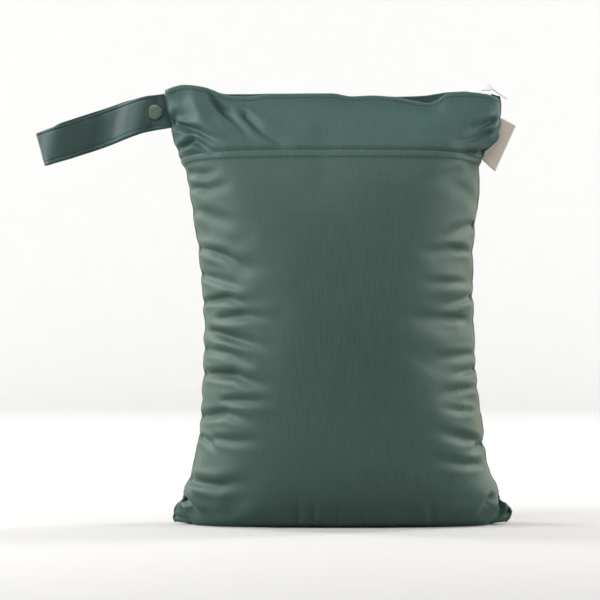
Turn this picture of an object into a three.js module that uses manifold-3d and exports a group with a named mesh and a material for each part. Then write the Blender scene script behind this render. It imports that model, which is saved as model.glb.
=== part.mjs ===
// A zip-top wet bag for cloth nappies, filled and standing on its flattened base. Three sewn panels of thin
// coated cloth make it: a back panel, a front panel and an outer pocket panel whose hem crosses the bag
// below the zip. A white coil zip closes the mouth, a doubled strap with a press stud sticks out of one
// side seam, and a small bare cloth label out of the other. Millimetres, +Z up, +X to the right as seen
// from the front, the front faces -Y. The origin is on the floor, under the middle of the base.
import * as THREE from "three";
import { mergeVertices } from "three/addons/utils/BufferGeometryUtils.js";
import Module from "manifold-3d";

const wasm = await Module();
wasm.setup();

// Bag: driving dimensions.
const FLAT_WIDTH = 280; // side seam to side seam with the bag laid flat
const STANDING_HEIGHT = 352; // floor to zip line with the bag filled
const CLOTH = 1.2; // thickness of one panel
const CLEARANCE = 0.3; // gap between pieces that touch on the real bag
const GATHER = 0.03; // share of the girth that the puckers at the side seams take up
const BASE_SEAM_SHIFT = 5; // how far the bottom seam bows forward of the middle
const MOUTH_WIDTH = 10; // between the front and back panels at the zip
const HEM_RISE = 0.861; // height of the pocket's hem, as a share of STANDING_HEIGHT
const HEM_BAND = 7; // height of the doubled band at the hem
const HEM_DROP = 7; // how much lower the hem is at the side seams than in the middle
const HEM_STEP = 0.6; // how far the doubled band stands proud
const POCKET_SLACK = 1.8; // air between the pocket and the front panel behind it

// Strap and press stud.
const STRAP_WIDTH = 27.4;
const STRAP_THICK = 1.6;
const STRAP_LENGTH = 108; // side seam to fold
const STRAP_RISE = 0.958; // height of the strap's root, as a share of STANDING_HEIGHT
const STRAP_LOOP_GAP = 7.2; // between the two layers where the loop is widest
const STUD_SETBACK = 9.5; // side seam to the middle of the press stud
const STUD_DIAMETER = 12.4;
const STUD_DOME = 2.2; // thickness of a cap
const STUD_RING = 2.4; // thickness of the socket ring between the layers
const STUD_RING_DIAMETER = 9.6;
const STUD_POST_DIAMETER = 2.6;

// Zip.
const TAPE_THICK = 1;
const TAPE_LEG = 9; // how far the tape hangs down inside each panel
const TAPE_SETBACK = 7; // side seam to tape end
const COIL_WIDTH = 4;
const COIL_HEIGHT = 2;
const SLIDER_SETBACK = 8; // side seam to the pull's hinge
const SLIDER_LENGTH = 8.6;
const SLIDER_WIDTH = 6.4;
const SLIDER_PLATE = 1;
const BRIDGE_WIDTH = 1.6;
const BRIDGE_THICK = 0.8;
const PULL_LENGTH = 18;
const PULL_WIDTH = 4.6;
const PULL_THICK = 1;
const PULL_DROOP = 36; // degrees below the slider's own line

// Label.
const LABEL_REACH = 14.8; // seam to fold
const LABEL_THICK = 1.2;
const LABEL_TOP_RISE = 0.936;
const LABEL_BOTTOM_RISE = 0.842;

// Sections of the filled bag, from the floor up. rise is a share of STANDING_HEIGHT; left and right are the
// side seams, as shares of half FLAT_WIDTH; front and back go from 0, the mouth's depth, to 1, the belly's;
// filled is the share of the section that is stuffed, the rest being the flat corner ears; square is the
// section's exponent, 2 for an ellipse and more for a slot with square ends.
const SECTIONS = [
  { rise: 0.0, left: 0.955, right: 0.965, front: 0.52, back: 0.52, filled: 0.9, square: 3.4 },
  { rise: 0.012, left: 0.972, right: 0.99, front: 0.64, back: 0.63, filled: 0.905, square: 3.2 },
  { rise: 0.03, left: 0.972, right: 0.998, front: 0.73, back: 0.71, filled: 0.91, square: 3.0 },
  { rise: 0.044, left: 0.955, right: 0.975, front: 0.78, back: 0.75, filled: 0.94, square: 2.8 },
  { rise: 0.058, left: 0.922, right: 0.942, front: 0.82, back: 0.79, filled: 0.98, square: 2.6 },
  { rise: 0.08, left: 0.908, right: 0.925, front: 0.86, back: 0.83, filled: 1, square: 2.5 },
  { rise: 0.12, left: 0.87, right: 0.876, front: 0.91, back: 0.88, filled: 1, square: 2.4 },
  { rise: 0.17, left: 0.838, right: 0.846, front: 0.95, back: 0.92, filled: 1, square: 2.4 },
  { rise: 0.24, left: 0.812, right: 0.824, front: 0.98, back: 0.96, filled: 1, square: 2.3 },
  { rise: 0.32, left: 0.796, right: 0.792, front: 1, back: 0.98, filled: 1, square: 2.3 },
  { rise: 0.42, left: 0.787, right: 0.774, front: 1, back: 0.98, filled: 1, square: 2.3 },
  { rise: 0.52, left: 0.792, right: 0.768, front: 0.98, back: 0.96, filled: 1, square: 2.3 },
  { rise: 0.62, left: 0.815, right: 0.768, front: 0.92, back: 0.91, filled: 1, square: 2.3 },
  { rise: 0.71, left: 0.848, right: 0.787, front: 0.83, back: 0.83, filled: 1, square: 2.4 },
  { rise: 0.78, left: 0.878, right: 0.808, front: 0.72, back: 0.72, filled: 1, square: 2.5 },
  { rise: 0.83, left: 0.904, right: 0.806, front: 0.6, back: 0.61, filled: 1, square: 2.6 },
  { rise: 0.86, left: 0.94, right: 0.848, front: 0.51, back: 0.52, filled: 1, square: 2.8 },
  { rise: 0.9, left: 0.972, right: 0.92, front: 0.36, back: 0.38, filled: 1, square: 3.6 },
  { rise: 0.94, left: 0.998, right: 0.936, front: 0.19, back: 0.21, filled: 1, square: 7 },
  { rise: 0.975, left: 1.014, right: 0.938, front: 0.06, back: 0.07, filled: 1, square: 20 },
  { rise: 1.0, left: 1.024, right: 0.928, front: 0, back: 0, filled: 1, square: 40 },
];

// Height of the mouth's edges across the bag, as shares of STANDING_HEIGHT: the front panel's top edge, the
// zip and the back panel's top edge. across goes from -1 at the left side seam to 1 at the right one.
const MOUTH_LINE = [
  { across: -1, front: 1.006, zip: 0.996, back: 1.003 },
  { across: -0.88, front: 1.018, zip: 1.009, back: 1.015 },
  { across: -0.76, front: 1.013, zip: 1.006, back: 1.011 },
  { across: -0.62, front: 0.998, zip: 0.993, back: 0.999 },
  { across: -0.3, front: 0.999, zip: 0.994, back: 1.0 },
  { across: 0, front: 0.998, zip: 0.993, back: 0.999 },
  { across: 0.12, front: 0.991, zip: 0.99, back: 0.997 },
  { across: 0.48, front: 0.991, zip: 0.99, back: 0.998 },
  { across: 0.66, front: 1.0, zip: 0.996, back: 1.003 },
  { across: 0.8, front: 1.001, zip: 1.0, back: 1.005 },
  { across: 0.92, front: 0.996, zip: 1.0015, back: 1.003 },
  { across: 1, front: 0.987, zip: 1.0015, back: 0.993 },
];

// Main folds: ridges where height is positive and valleys where it is negative, each along a line from (x0,
// z0) to (x1, z1). x is a share of half FLAT_WIDTH and z of STANDING_HEIGHT; half_width and height are
// shares of FLAT_WIDTH.
const FRONT_FOLDS = [
  { x0: -0.86, z0: 0.985, x1: -0.6, z1: 0.88, half_width: 0.03, height: 0.015 },
  { x0: -0.78, z0: 0.985, x1: -0.46, z1: 0.872, half_width: 0.022, height: -0.018 },
  { x0: -0.66, z0: 0.975, x1: -0.26, z1: 0.872, half_width: 0.026, height: 0.01 },
  { x0: -0.98, z0: 0.922, x1: -0.78, z1: 0.905, half_width: 0.02, height: -0.015 },
  { x0: -0.94, z0: 0.878, x1: -0.74, z1: 0.868, half_width: 0.02, height: -0.015 },
  { x0: 0.76, z0: 0.912, x1: 0.9, z1: 0.922, half_width: 0.02, height: -0.013 },
  { x0: 0.68, z0: 0.885, x1: 0.82, z1: 0.892, half_width: 0.02, height: -0.011 },
  { x0: -0.8, z0: 0.64, x1: -0.6, z1: 0.6, half_width: 0.021, height: -0.017 },
  { x0: -0.78, z0: 0.585, x1: -0.68, z1: 0.565, half_width: 0.019, height: -0.015 },
  { x0: -0.76, z0: 0.52, x1: -0.4, z1: 0.475, half_width: 0.025, height: -0.02 },
  { x0: -0.78, z0: 0.4, x1: -0.56, z1: 0.385, half_width: 0.021, height: -0.019 },
  { x0: -0.78, z0: 0.35, x1: -0.46, z1: 0.32, half_width: 0.023, height: -0.022 },
  { x0: -0.78, z0: 0.255, x1: -0.52, z1: 0.252, half_width: 0.025, height: -0.02 },
  { x0: -0.84, z0: 0.105, x1: -0.6, z1: 0.098, half_width: 0.023, height: -0.019 },
  { x0: 0.76, z0: 0.69, x1: 0.62, z1: 0.66, half_width: 0.021, height: -0.015 },
  { x0: 0.72, z0: 0.625, x1: 0.54, z1: 0.63, half_width: 0.019, height: -0.014 },
  { x0: 0.76, z0: 0.53, x1: 0.56, z1: 0.508, half_width: 0.021, height: -0.017 },
  { x0: 0.7, z0: 0.478, x1: 0.52, z1: 0.476, half_width: 0.019, height: -0.014 },
  { x0: 0.76, z0: 0.4, x1: 0.58, z1: 0.384, half_width: 0.021, height: -0.017 },
  { x0: 0.78, z0: 0.325, x1: 0.62, z1: 0.31, half_width: 0.019, height: -0.015 },
  { x0: 0.78, z0: 0.2, x1: 0.62, z1: 0.21, half_width: 0.019, height: -0.015 },
  { x0: 0.84, z0: 0.142, x1: 0.68, z1: 0.146, half_width: 0.019, height: -0.015 },
];
const BACK_FOLDS = [0.62, 0.52, 0.4, 0.3, 0.18].flatMap((z) =>
  [-1, 1].map((end) => ({
    x0: end * 0.8, z0: z + 0.012 * end, x1: end * 0.56, z1: z, half_width: 0.026, height: -0.018,
  })),
);

// Reads one column of a table at a given place, on a smooth curve through the rows (cubic Hermite, with
// slopes limited so that the curve never overshoots a row).
function readTable(rows, key, column, at) {
  const last = rows.length - 1;
  const x = THREE.MathUtils.clamp(at, rows[0][key], rows[last][key]);
  let i = rows.findIndex((row, k) => k < last && x <= rows[k + 1][key]);
  if (i < 0) i = last - 1;
  const step = (k) => rows[k + 1][key] - rows[k][key];
  const rate = (k) => (rows[k + 1][column] - rows[k][column]) / step(k);
  const slope = (k) => {
    if (k === 0) return rate(0);
    if (k === last) return rate(last - 1);
    const [before, after] = [rate(k - 1), rate(k)];
    return before * after <= 0 ? 0 : (2 * before * after) / (before + after);
  };
  const span = step(i);
  const t = (x - rows[i][key]) / span;
  const [a, b] = [rows[i][column], rows[i + 1][column]];
  const [p, q] = [slope(i) * span, slope(i + 1) * span];
  return a + t * p + t * t * (3 * (b - a) - 2 * p - q) + t * t * t * (p + q - 2 * (b - a));
}

// Half the depth of an ellipse whose half girth is the cloth between the side seams, less the gathers.
function bellyHalfDepth() {
  const halfWidth = Math.min(...SECTIONS.map((row) => row.left + row.right)) * FLAT_WIDTH / 4;
  const cloth = FLAT_WIDTH * (1 - GATHER);
  const halfGirth = (b) =>
    (Math.PI / 2) * (3 * (halfWidth + b) - Math.sqrt((3 * halfWidth + b) * (halfWidth + 3 * b)));
  let [low, high] = [0, FLAT_WIDTH / 2];
  for (let i = 0; i < 40; i++) {
    const middle = (low + high) / 2;
    if (halfGirth(middle) < cloth) low = middle;
    else high = middle;
  }
  return low;
}
const BELLY_HALF_DEPTH = bellyHalfDepth();
const MOUTH_HALF_DEPTH = MOUTH_WIDTH / 2 + CLOTH;
const SEAM_HALF_GAP = CLEARANCE / 2; // the front and back panels stop this far from the seam's plane
const POCKET_LAYER = CLOTH + POCKET_SLACK; // from the pocket's outer face to the front panel's
// The grid of the panels. Columns stand closer together towards the side seams, where the cloth turns and
// puckers.
const COLUMNS = 20;
const ACROSS = Array.from({ length: COLUMNS + 1 }, (_, j) => Math.sin((j / COLUMNS - 0.5) * Math.PI));
const FOOT_RISES = [0.085, 0.06, 0.045, 0.03, 0.012, 0];
const risesBetween = (from, to, count) =>
  Array.from({ length: count + 1 }, (_, i) => THREE.MathUtils.lerp(from, to, i / count));
const FRONT_RISES = [...risesBetween(0.97, 0.115, 34), ...FOOT_RISES];
const BACK_RISES = [...risesBetween(0.97, 0.82, 6), ...risesBetween(0.77, 0.125, 13), ...FOOT_RISES];

const FRONT = {
  sign: -1,
  depth: "front",
  folds: FRONT_FOLDS,
  rises: FRONT_RISES,
  earHalf: POCKET_LAYER + CLOTH + CLEARANCE,
};
const BACK = {
  sign: 1,
  depth: "back",
  folds: BACK_FOLDS,
  rises: BACK_RISES,
  earHalf: CLOTH + 2 * CLEARANCE,
};

const section = (column, rise) => readTable(SECTIONS, "rise", column, rise);
const leftSeam = (rise) => (section("left", rise) * FLAT_WIDTH) / 2;
const rightSeam = (rise) => (section("right", rise) * FLAT_WIDTH) / 2;
const mouthLine = (column, across) => readTable(MOUTH_LINE, "across", column, across);

// Distance from a point to a line between two points, in the front view.
function distanceToLine(x, z, x0, z0, x1, z1) {
  const [dx, dz] = [x1 - x0, z1 - z0];
  const t = THREE.MathUtils.clamp(((x - x0) * dx + (z - z0) * dz) / (dx * dx + dz * dz), 0, 1);
  return Math.hypot(x - x0 - t * dx, z - z0 - t * dz);
}

// How far the folds push the cloth out, or pull it in, at a point of the front view.
function foldHeight(folds, x, z) {
  const [across, up] = [FLAT_WIDTH / 2, STANDING_HEIGHT];
  return folds.reduce((sum, f) => {
    const d = distanceToLine(x, z, f.x0 * across, f.z0 * up, f.x1 * across, f.z1 * up);
    return sum + f.height * FLAT_WIDTH * Math.exp(-((d / (f.half_width * FLAT_WIDTH)) ** 2));
  }, 0);
}

// A point of the bag's skin. across goes from -1 at the left side seam to 1 at the right one, rise is the
// height as a share of STANDING_HEIGHT, and inset is how far this skin lies inside the outermost one.
function skin(side, across, rise, inset) {
  const left = leftSeam(rise) - inset;
  const right = rightSeam(rise) - inset;
  const x = (right - left) / 2 + (across * (right + left)) / 2;
  const belly = BELLY_HALF_DEPTH - MOUTH_HALF_DEPTH;
  const depth = MOUTH_HALF_DEPTH + section(side.depth, rise) * belly;
  const u = Math.abs(across);
  const filled = Math.min(1, u / section("filled", rise));
  const bulge = Math.sqrt(1 - filled ** section("square", rise));
  const tip = Math.sqrt(1 - u ** 24);
  const z = inset + rise * (STANDING_HEIGHT - inset);
  const ear = Math.min(side.earHalf, depth);
  const fold = foldHeight(side.folds, x, z) * Math.min(bulge * 1.6, 1);
  const y = SEAM_HALF_GAP + (ear - inset - SEAM_HALF_GAP) * tip + (depth - ear) * bulge + fold;
  return new THREE.Vector3(x, side.sign * y, z);
}

// A point of the flattened base. inward goes from 0, where the skin meets the floor, to 1 at the bottom
// seam.
function baseSkin(side, across, inward, inset) {
  const edge = skin(side, across, 0, inset);
  const shift = BASE_SEAM_SHIFT * Math.max(0, 1 - (across / 0.75) ** 2) ** 2;
  const seam = side.sign * SEAM_HALF_GAP - shift;
  return new THREE.Vector3(edge.x, THREE.MathUtils.lerp(edge.y, seam, inward), inset);
}

const positions = (points) => new Float32Array(points.flatMap((p) => [p.x, p.y, p.z]));

// A closed BufferGeometry from points and triangles, facing outwards whichever way the triangles were
// listed.
function closedGeometry(points, triangles) {
  let made = new THREE.BufferGeometry();
  made.setAttribute("position", new THREE.BufferAttribute(positions(points), 3));
  made.setIndex(triangles.flat());
  made = mergeVertices(made, 1e-4);
  const at = made.getAttribute("position");
  const corner = (i) => new THREE.Vector3().fromBufferAttribute(at, i);
  const kept = [];
  let volume = 0;
  for (let i = 0; i < made.index.count; i += 3) {
    const [a, b, c] = [0, 1, 2].map((k) => made.index.getX(i + k));
    if (a === b || b === c || c === a) continue;
    kept.push([a, b, c]);
    volume += corner(a).dot(corner(b).cross(corner(c)));
  }
  made.setIndex(kept.flatMap(([a, b, c]) => (volume < 0 ? [a, c, b] : [a, b, c])));
  made.computeVertexNormals();
  return made;
}

// Cloth between an outer and an inner grid of points, closed along its four edges.
function clothSheet(outer, inner) {
  const [rows, columns] = [outer.length, outer[0].length];
  const points = [...outer.flat(), ...inner.flat()];
  const out = (i, j) => i * columns + j;
  const inn = (i, j) => rows * columns + out(i, j);
  const triangles = [];
  const quad = (a, b, c, d) => triangles.push([a, b, c], [a, c, d]);
  for (let i = 0; i + 1 < rows; i++) {
    for (let j = 0; j + 1 < columns; j++) {
      quad(out(i, j), out(i, j + 1), out(i + 1, j + 1), out(i + 1, j));
      quad(inn(i, j), inn(i + 1, j), inn(i + 1, j + 1), inn(i, j + 1));
    }
    quad(out(i, 0), out(i + 1, 0), inn(i + 1, 0), inn(i, 0));
    quad(out(i + 1, columns - 1), out(i, columns - 1), inn(i, columns - 1), inn(i + 1, columns - 1));
  }
  for (let j = 0; j + 1 < columns; j++) {
    quad(out(0, j + 1), out(0, j), inn(0, j), inn(0, j + 1));
    quad(out(rows - 1, j), out(rows - 1, j + 1), inn(rows - 1, j + 1), inn(rows - 1, j));
  }
  return closedGeometry(points, triangles);
}

// A solid through a row of outlines with the same number of corners, capped at both ends. flat holds the
// first outline's corners in its own plane, for the caps.
function sweep(outlines, flat) {
  const n = flat.length;
  const triangles = [];
  for (let i = 0; i + 1 < outlines.length; i++) {
    for (let j = 0; j < n; j++) {
      const [a, b] = [i * n + j, i * n + ((j + 1) % n)];
      triangles.push([a, b, b + n], [a, b + n, a + n]);
    }
  }
  const end = (outlines.length - 1) * n;
  const mirrored = THREE.ShapeUtils.isClockWise(flat);
  for (const [a, p, q] of THREE.ShapeUtils.triangulateShape(flat, [])) {
    const [b, c] = mirrored ? [q, p] : [p, q];
    triangles.push([a, c, b], [end + a, end + b, end + c]);
  }
  return closedGeometry(outlines.flat(), triangles);
}

function toSolid(geometry) {
  const bare = new THREE.BufferGeometry();
  bare.setAttribute("position", geometry.getAttribute("position"));
  if (geometry.index) bare.setIndex(geometry.index);
  const merged = mergeVertices(bare, 1e-4);
  const vertProperties = merged.getAttribute("position").array;
  return new wasm.Manifold(
    new wasm.Mesh({ numProp: 3, vertProperties, triVerts: new Uint32Array(merged.index.array) }),
  );
}

function toGeometry(solid) {
  const mesh = solid.getMesh();
  const made = new THREE.BufferGeometry();
  made.setAttribute("position", new THREE.BufferAttribute(mesh.vertProperties, 3));
  made.setIndex(new THREE.BufferAttribute(mesh.triVerts, 1));
  made.computeVertexNormals();
  return made;
}

// Colours read off the object: grey-green cloth, white zip, olive press stud, unbleached label.
const finish = (color, roughness, metalness = 0) =>
  new THREE.MeshStandardMaterial({ color, roughness, metalness });
const CLOTH_FINISH = finish(0x55706a, 0.62);
const STRAP_FINISH = finish(0x587169, 0.62);
const TAPE_FINISH = finish(0xeeeeee, 0.8);
const COIL_FINISH = finish(0xf4f4f2, 0.4);
const METAL_FINISH = finish(0xf2f2f0, 0.35, 0.1);
const STUD_FINISH = finish(0x5a7263, 0.4);
const LABEL_FINISH = finish(0xb9ada2, 0.85);

const bag = new THREE.Group();
function addMesh(name, geometry, material, parent = bag) {
  const mesh = new THREE.Mesh(geometry, material);
  mesh.name = name;
  parent.add(mesh);
  return mesh;
}

const BASE_STEPS = [0.5, 1];

// Rows of a panel from its top edge down the wall and under the base to the bottom seam.
function panelGrid(side, topRise, inset) {
  const wall = side.rises.map((rise) => ACROSS.map((across) => skin(side, across, rise, inset(rise))));
  const edge = ACROSS.map((across) => skin(side, across, topRise(across), inset(topRise(across))));
  const base = BASE_STEPS.map((step) => ACROSS.map((across) => baseSkin(side, across, step, inset(0))));
  return [edge, ...wall, ...base];
}

function panel(side, topRise, inset) {
  return clothSheet(
    panelGrid(side, topRise, inset),
    panelGrid(side, topRise, (rise) => inset(rise) + CLOTH),
  );
}

// The front panel lies behind the pocket and comes out to the bag's own skin above the hem.
const behindPocket = (rise) =>
  POCKET_LAYER * (1 - THREE.MathUtils.smoothstep(rise, HEM_RISE + 0.006, HEM_RISE + 0.04));
addMesh("back_panel", panel(BACK, (across) => mouthLine("back", across), () => 0), CLOTH_FINISH);
addMesh("front_panel", panel(FRONT, (across) => mouthLine("front", across), behindPocket), CLOTH_FINISH);

// The pocket's hem drops towards the side seams, and its band stands a little proud.
const hemRise = (across) => HEM_RISE - (HEM_DROP / STANDING_HEIGHT) * Math.abs(across) ** 4;
function pocketGrid(inset, proud) {
  const band = HEM_BAND / STANDING_HEIGHT;
  const drops = [
    { below: 0, step: proud },
    { below: band, step: proud },
    { below: band + HEM_STEP / STANDING_HEIGHT, step: 0 },
  ];
  const hem = drops.map(({ below, step }) =>
    ACROSS.map((across) => skin(FRONT, across, hemRise(across) - below, inset - step)),
  );
  const clearOfBand = HEM_RISE - (HEM_BAND + HEM_STEP + HEM_DROP) / STANDING_HEIGHT - 0.01;
  const wall = FRONT_RISES.filter((rise) => rise < clearOfBand).map((rise) =>
    ACROSS.map((across) => skin(FRONT, across, rise, inset)),
  );
  const base = BASE_STEPS.map((step) => ACROSS.map((across) => baseSkin(FRONT, across, step, inset)));
  return [...hem, ...wall, ...base];
}
addMesh("pocket_panel", clothSheet(pocketGrid(0, HEM_STEP), pocketGrid(CLOTH, 0)), CLOTH_FINISH);

// Zip. Its stations run along the mouth between the side seams.
const ZIP_STATIONS = 26;
const mouthLeft = leftSeam(1);
const mouthRight = rightSeam(1);
const mouthHalf = (mouthLeft + mouthRight) / 2;
const mouthMiddle = (mouthRight - mouthLeft) / 2;
const zipAcross = (x) => (x - mouthMiddle) / mouthHalf;
const zipX = (across) => mouthMiddle + across * mouthHalf;
const zipHeight = (x) => mouthLine("zip", zipAcross(x)) * STANDING_HEIGHT;
const stationsBetween = (from, to, count) =>
  Array.from({ length: count + 1 }, (_, i) => from + ((to - from) * i) / count);

function zipTape(side) {
  const inner = side.sign * (COIL_WIDTH / 2 + CLEARANCE);
  const [from, to] = [-mouthLeft + TAPE_SETBACK, mouthRight - TAPE_SETBACK];
  const xs = [from, ...ACROSS.map(zipX).filter((x) => x > from && x < to), to];
  const corners = (x) => {
    const panelFace = skin(side, zipAcross(x), zipHeight(x) / STANDING_HEIGHT, CLOTH).y;
    const outer = panelFace - side.sign * CLEARANCE;
    const legFace = outer - side.sign * TAPE_THICK;
    const half = TAPE_THICK / 2;
    return [
      [inner, half],
      [outer, half],
      [outer, -TAPE_LEG],
      [legFace, -TAPE_LEG],
      [legFace, -half],
      [inner, -half],
    ];
  };
  const outlines = xs.map((x) => corners(x).map(([y, z]) => new THREE.Vector3(x, y, zipHeight(x) + z)));
  return sweep(outlines, corners(xs[0]).map(([y, z]) => new THREE.Vector2(y, z)));
}
addMesh("zip_tape_front", zipTape(FRONT), TAPE_FINISH);
addMesh("zip_tape_back", zipTape(BACK), TAPE_FINISH);

// The slider's own frame: its origin is the pull's hinge, +X points to the nose. The bridge arches over the
// hinge bar of the pull, between a front leg and a rear leg.
const BAR_RADIUS = 0.5;
const HINGE_ABOVE_PLATE = 2.3;
const LEG_GAP = BAR_RADIUS + CLEARANCE; // hinge axis to the front leg
const REAR_LEG_GAP = 1.8; // hinge axis to the rear leg
const noseX = LEG_GAP + BRIDGE_THICK;
const tailX = noseX - SLIDER_LENGTH;
const plateTop = -HINGE_ABOVE_PLATE;
const plateBottom = plateTop - SLIDER_PLATE;
const coilTop = plateBottom - CLEARANCE;
const coilMiddle = coilTop - COIL_HEIGHT / 2;
const lowerPlateTop = coilTop - COIL_HEIGHT - CLEARANCE;
const sliderX = mouthRight - SLIDER_SETBACK;
const sliderTilt = Math.atan2(
  zipHeight(sliderX + noseX) - zipHeight(sliderX + tailX),
  noseX - tailX,
);
const slider = new THREE.Group();
slider.position.set(
  sliderX + coilMiddle * Math.sin(sliderTilt),
  0,
  zipHeight(sliderX) - coilMiddle * Math.cos(sliderTilt),
);
slider.rotation.y = -sliderTilt;
bag.add(slider);

// A box between two corners.
function boxSolid(x0, x1, halfY, z0, z1) {
  const box = new THREE.BoxGeometry(x1 - x0, 2 * halfY, z1 - z0);
  box.translate((x0 + x1) / 2, 0, (z0 + z1) / 2);
  return toSolid(box);
}

// A plate seen from above as a wedge with a rounded tail, thick from z0 to z1.
function plateSolid(halfWidth, z0, z1) {
  const tailHalf = halfWidth * 0.72;
  const shape = new THREE.Shape();
  shape.moveTo(noseX, -halfWidth * 0.8);
  shape.lineTo(noseX, halfWidth * 0.8);
  shape.quadraticCurveTo(noseX - 1.6, halfWidth * 1.1, noseX - 3.4, halfWidth);
  shape.lineTo(tailX + 1, tailHalf);
  shape.quadraticCurveTo(tailX, tailHalf, tailX, tailHalf - 1);
  shape.lineTo(tailX, 1 - tailHalf);
  shape.quadraticCurveTo(tailX, -tailHalf, tailX + 1, -tailHalf);
  shape.lineTo(noseX - 3.4, -halfWidth);
  shape.quadraticCurveTo(noseX - 1.6, -halfWidth * 1.1, noseX, -halfWidth * 0.8);
  const plate = new THREE.ExtrudeGeometry(shape, { depth: z1 - z0, bevelEnabled: false, curveSegments: 4 });
  plate.translate(0, 0, z0);
  return toSolid(plate);
}

function sliderBody() {
  const archUnder = BAR_RADIUS + CLEARANCE;
  const archTop = archUnder + BRIDGE_THICK;
  const legHalf = BRIDGE_WIDTH / 2;
  const upper = plateSolid(SLIDER_WIDTH / 2, plateBottom, plateTop);
  const lower = plateSolid(SLIDER_WIDTH / 3, lowerPlateTop - SLIDER_PLATE, lowerPlateTop);
  const neck = boxSolid(noseX - 2, noseX - 0.8, SLIDER_WIDTH / 8, lowerPlateTop - 0.2, plateBottom + 0.2);
  const bridge = boxSolid(-REAR_LEG_GAP - BRIDGE_THICK, noseX, legHalf, plateTop - 0.2, archTop)
    .subtract(boxSolid(-REAR_LEG_GAP, LEG_GAP, legHalf + 1, plateTop, archUnder));
  return toGeometry(upper.add(lower).add(neck).add(bridge));
}
addMesh("zip_slider", sliderBody(), METAL_FINISH, slider);

// The pull is a flat tab with an eye: a round bar that the bridge holds, two side bars, and a rounded
// blade.
function pullTab() {
  const half = PULL_WIDTH / 2;
  const eyeHalf = BRIDGE_WIDTH / 2 + CLEARANCE + 0.1;
  const eyeEnd = Math.hypot(REAR_LEG_GAP + BRIDGE_THICK, HINGE_ABOVE_PLATE) + 2 * CLEARANCE;
  const outline = new THREE.Shape();
  outline.moveTo(0, -half);
  outline.lineTo(PULL_LENGTH - half, -half);
  outline.absarc(PULL_LENGTH - half, 0, half, -Math.PI / 2, Math.PI / 2, false);
  outline.lineTo(0, half);
  outline.closePath();
  const eye = new THREE.Path();
  eye.moveTo(BAR_RADIUS / 2, -eyeHalf);
  eye.lineTo(BAR_RADIUS / 2, eyeHalf);
  eye.lineTo(eyeEnd, eyeHalf);
  eye.lineTo(eyeEnd, -eyeHalf);
  eye.closePath();
  outline.holes.push(eye);
  const options = { depth: PULL_THICK, bevelEnabled: false, curveSegments: 8 };
  const blade = new THREE.ExtrudeGeometry(outline, options);
  blade.translate(0, 0, -PULL_THICK / 2);
  const bar = new THREE.CylinderGeometry(BAR_RADIUS, BAR_RADIUS, PULL_WIDTH, 12);
  return toGeometry(toSolid(blade).add(toSolid(bar)));
}
const pullGroup = new THREE.Group();
pullGroup.rotation.y = THREE.MathUtils.degToRad(PULL_DROOP);
slider.add(pullGroup);
addMesh("zip_pull", pullTab(), METAL_FINISH, pullGroup);

// The closed coil runs from the left end of the tape into the slider, up to its neck.
function zipCoil() {
  const half = COIL_WIDTH / 2;
  const top = COIL_HEIGHT / 2;
  const corners = [
    [-half, -top / 2],
    [-half, top / 2],
    [-half / 2, top],
    [half / 2, top],
    [half, top / 2],
    [half, -top / 2],
    [half / 2, -top],
    [-half / 2, -top],
  ];
  const from = -mouthLeft + TAPE_SETBACK + COIL_WIDTH;
  const to = sliderX + noseX - 2 - CLEARANCE;
  const xs = stationsBetween(from, to, ZIP_STATIONS);
  const outlines = xs.map((x) => corners.map(([y, z]) => new THREE.Vector3(x, y, zipHeight(x) + z)));
  return sweep(outlines, corners.map(([y, z]) => new THREE.Vector2(y, z)));
}
addMesh("zip_coil", zipCoil(), COIL_FINISH);

// Strap: its slope below the horizontal, in degrees, and how far apart its two layers lie, as a share of
// the widest gap, from the seam (0) to the fold (1).
const STRAP_LINE = [
  { along: 0, slope: 6, open: 0.42 },
  { along: 0.1, slope: 10, open: 0.42 },
  { along: 0.2, slope: 16, open: 0.5 },
  { along: 0.4, slope: 20, open: 0.85 },
  { along: 0.7, slope: 19.5, open: 1 },
  { along: 0.92, slope: 17, open: 0.8 },
  { along: 1, slope: 16, open: 0.62 },
];
const strapTable = (column, s) => readTable(STRAP_LINE, "along", column, s / STRAP_LENGTH);
const STUD_GAP = STUD_RING + 2 * CLEARANCE; // between the two layers at the press stud
const layerOffset = (s) => {
  const nearStud = 1 - THREE.MathUtils.smoothstep(s, STUD_SETBACK + STUD_DIAMETER / 2, 3 * STUD_DIAMETER);
  const gap = THREE.MathUtils.lerp(strapTable("open", s) * STRAP_LOOP_GAP, STUD_GAP, nearStud);
  return (gap + STRAP_THICK) / 2;
};
const strapRootX = -leftSeam(STRAP_RISE) - 2 * CLEARANCE;
const strapRootZ = STRAP_RISE * STANDING_HEIGHT;

// A point on the strap's middle line, s along it from the seam, with the line's slope there.
function strapPoint(s) {
  const steps = 40;
  let [x, z] = [strapRootX, strapRootZ];
  for (let i = 0; i < steps; i++) {
    const slope = THREE.MathUtils.degToRad(strapTable("slope", ((i + 0.5) * s) / steps));
    x -= (Math.cos(slope) * s) / steps;
    z -= (Math.sin(slope) * s) / steps;
  }
  return { x, z, slope: THREE.MathUtils.degToRad(strapTable("slope", s)) };
}

// How far an edge of the strap's root moves along X to follow the slanting side seam; edge is -1 or 1.
function seamShift(edge) {
  const root = strapPoint(0);
  const x = root.x - (Math.sin(root.slope) * edge * STRAP_WIDTH) / 2;
  const z = root.z + (Math.cos(root.slope) * edge * STRAP_WIDTH) / 2;
  return -leftSeam(z / STANDING_HEIGHT) - 2 * CLEARANCE - x;
}

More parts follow.
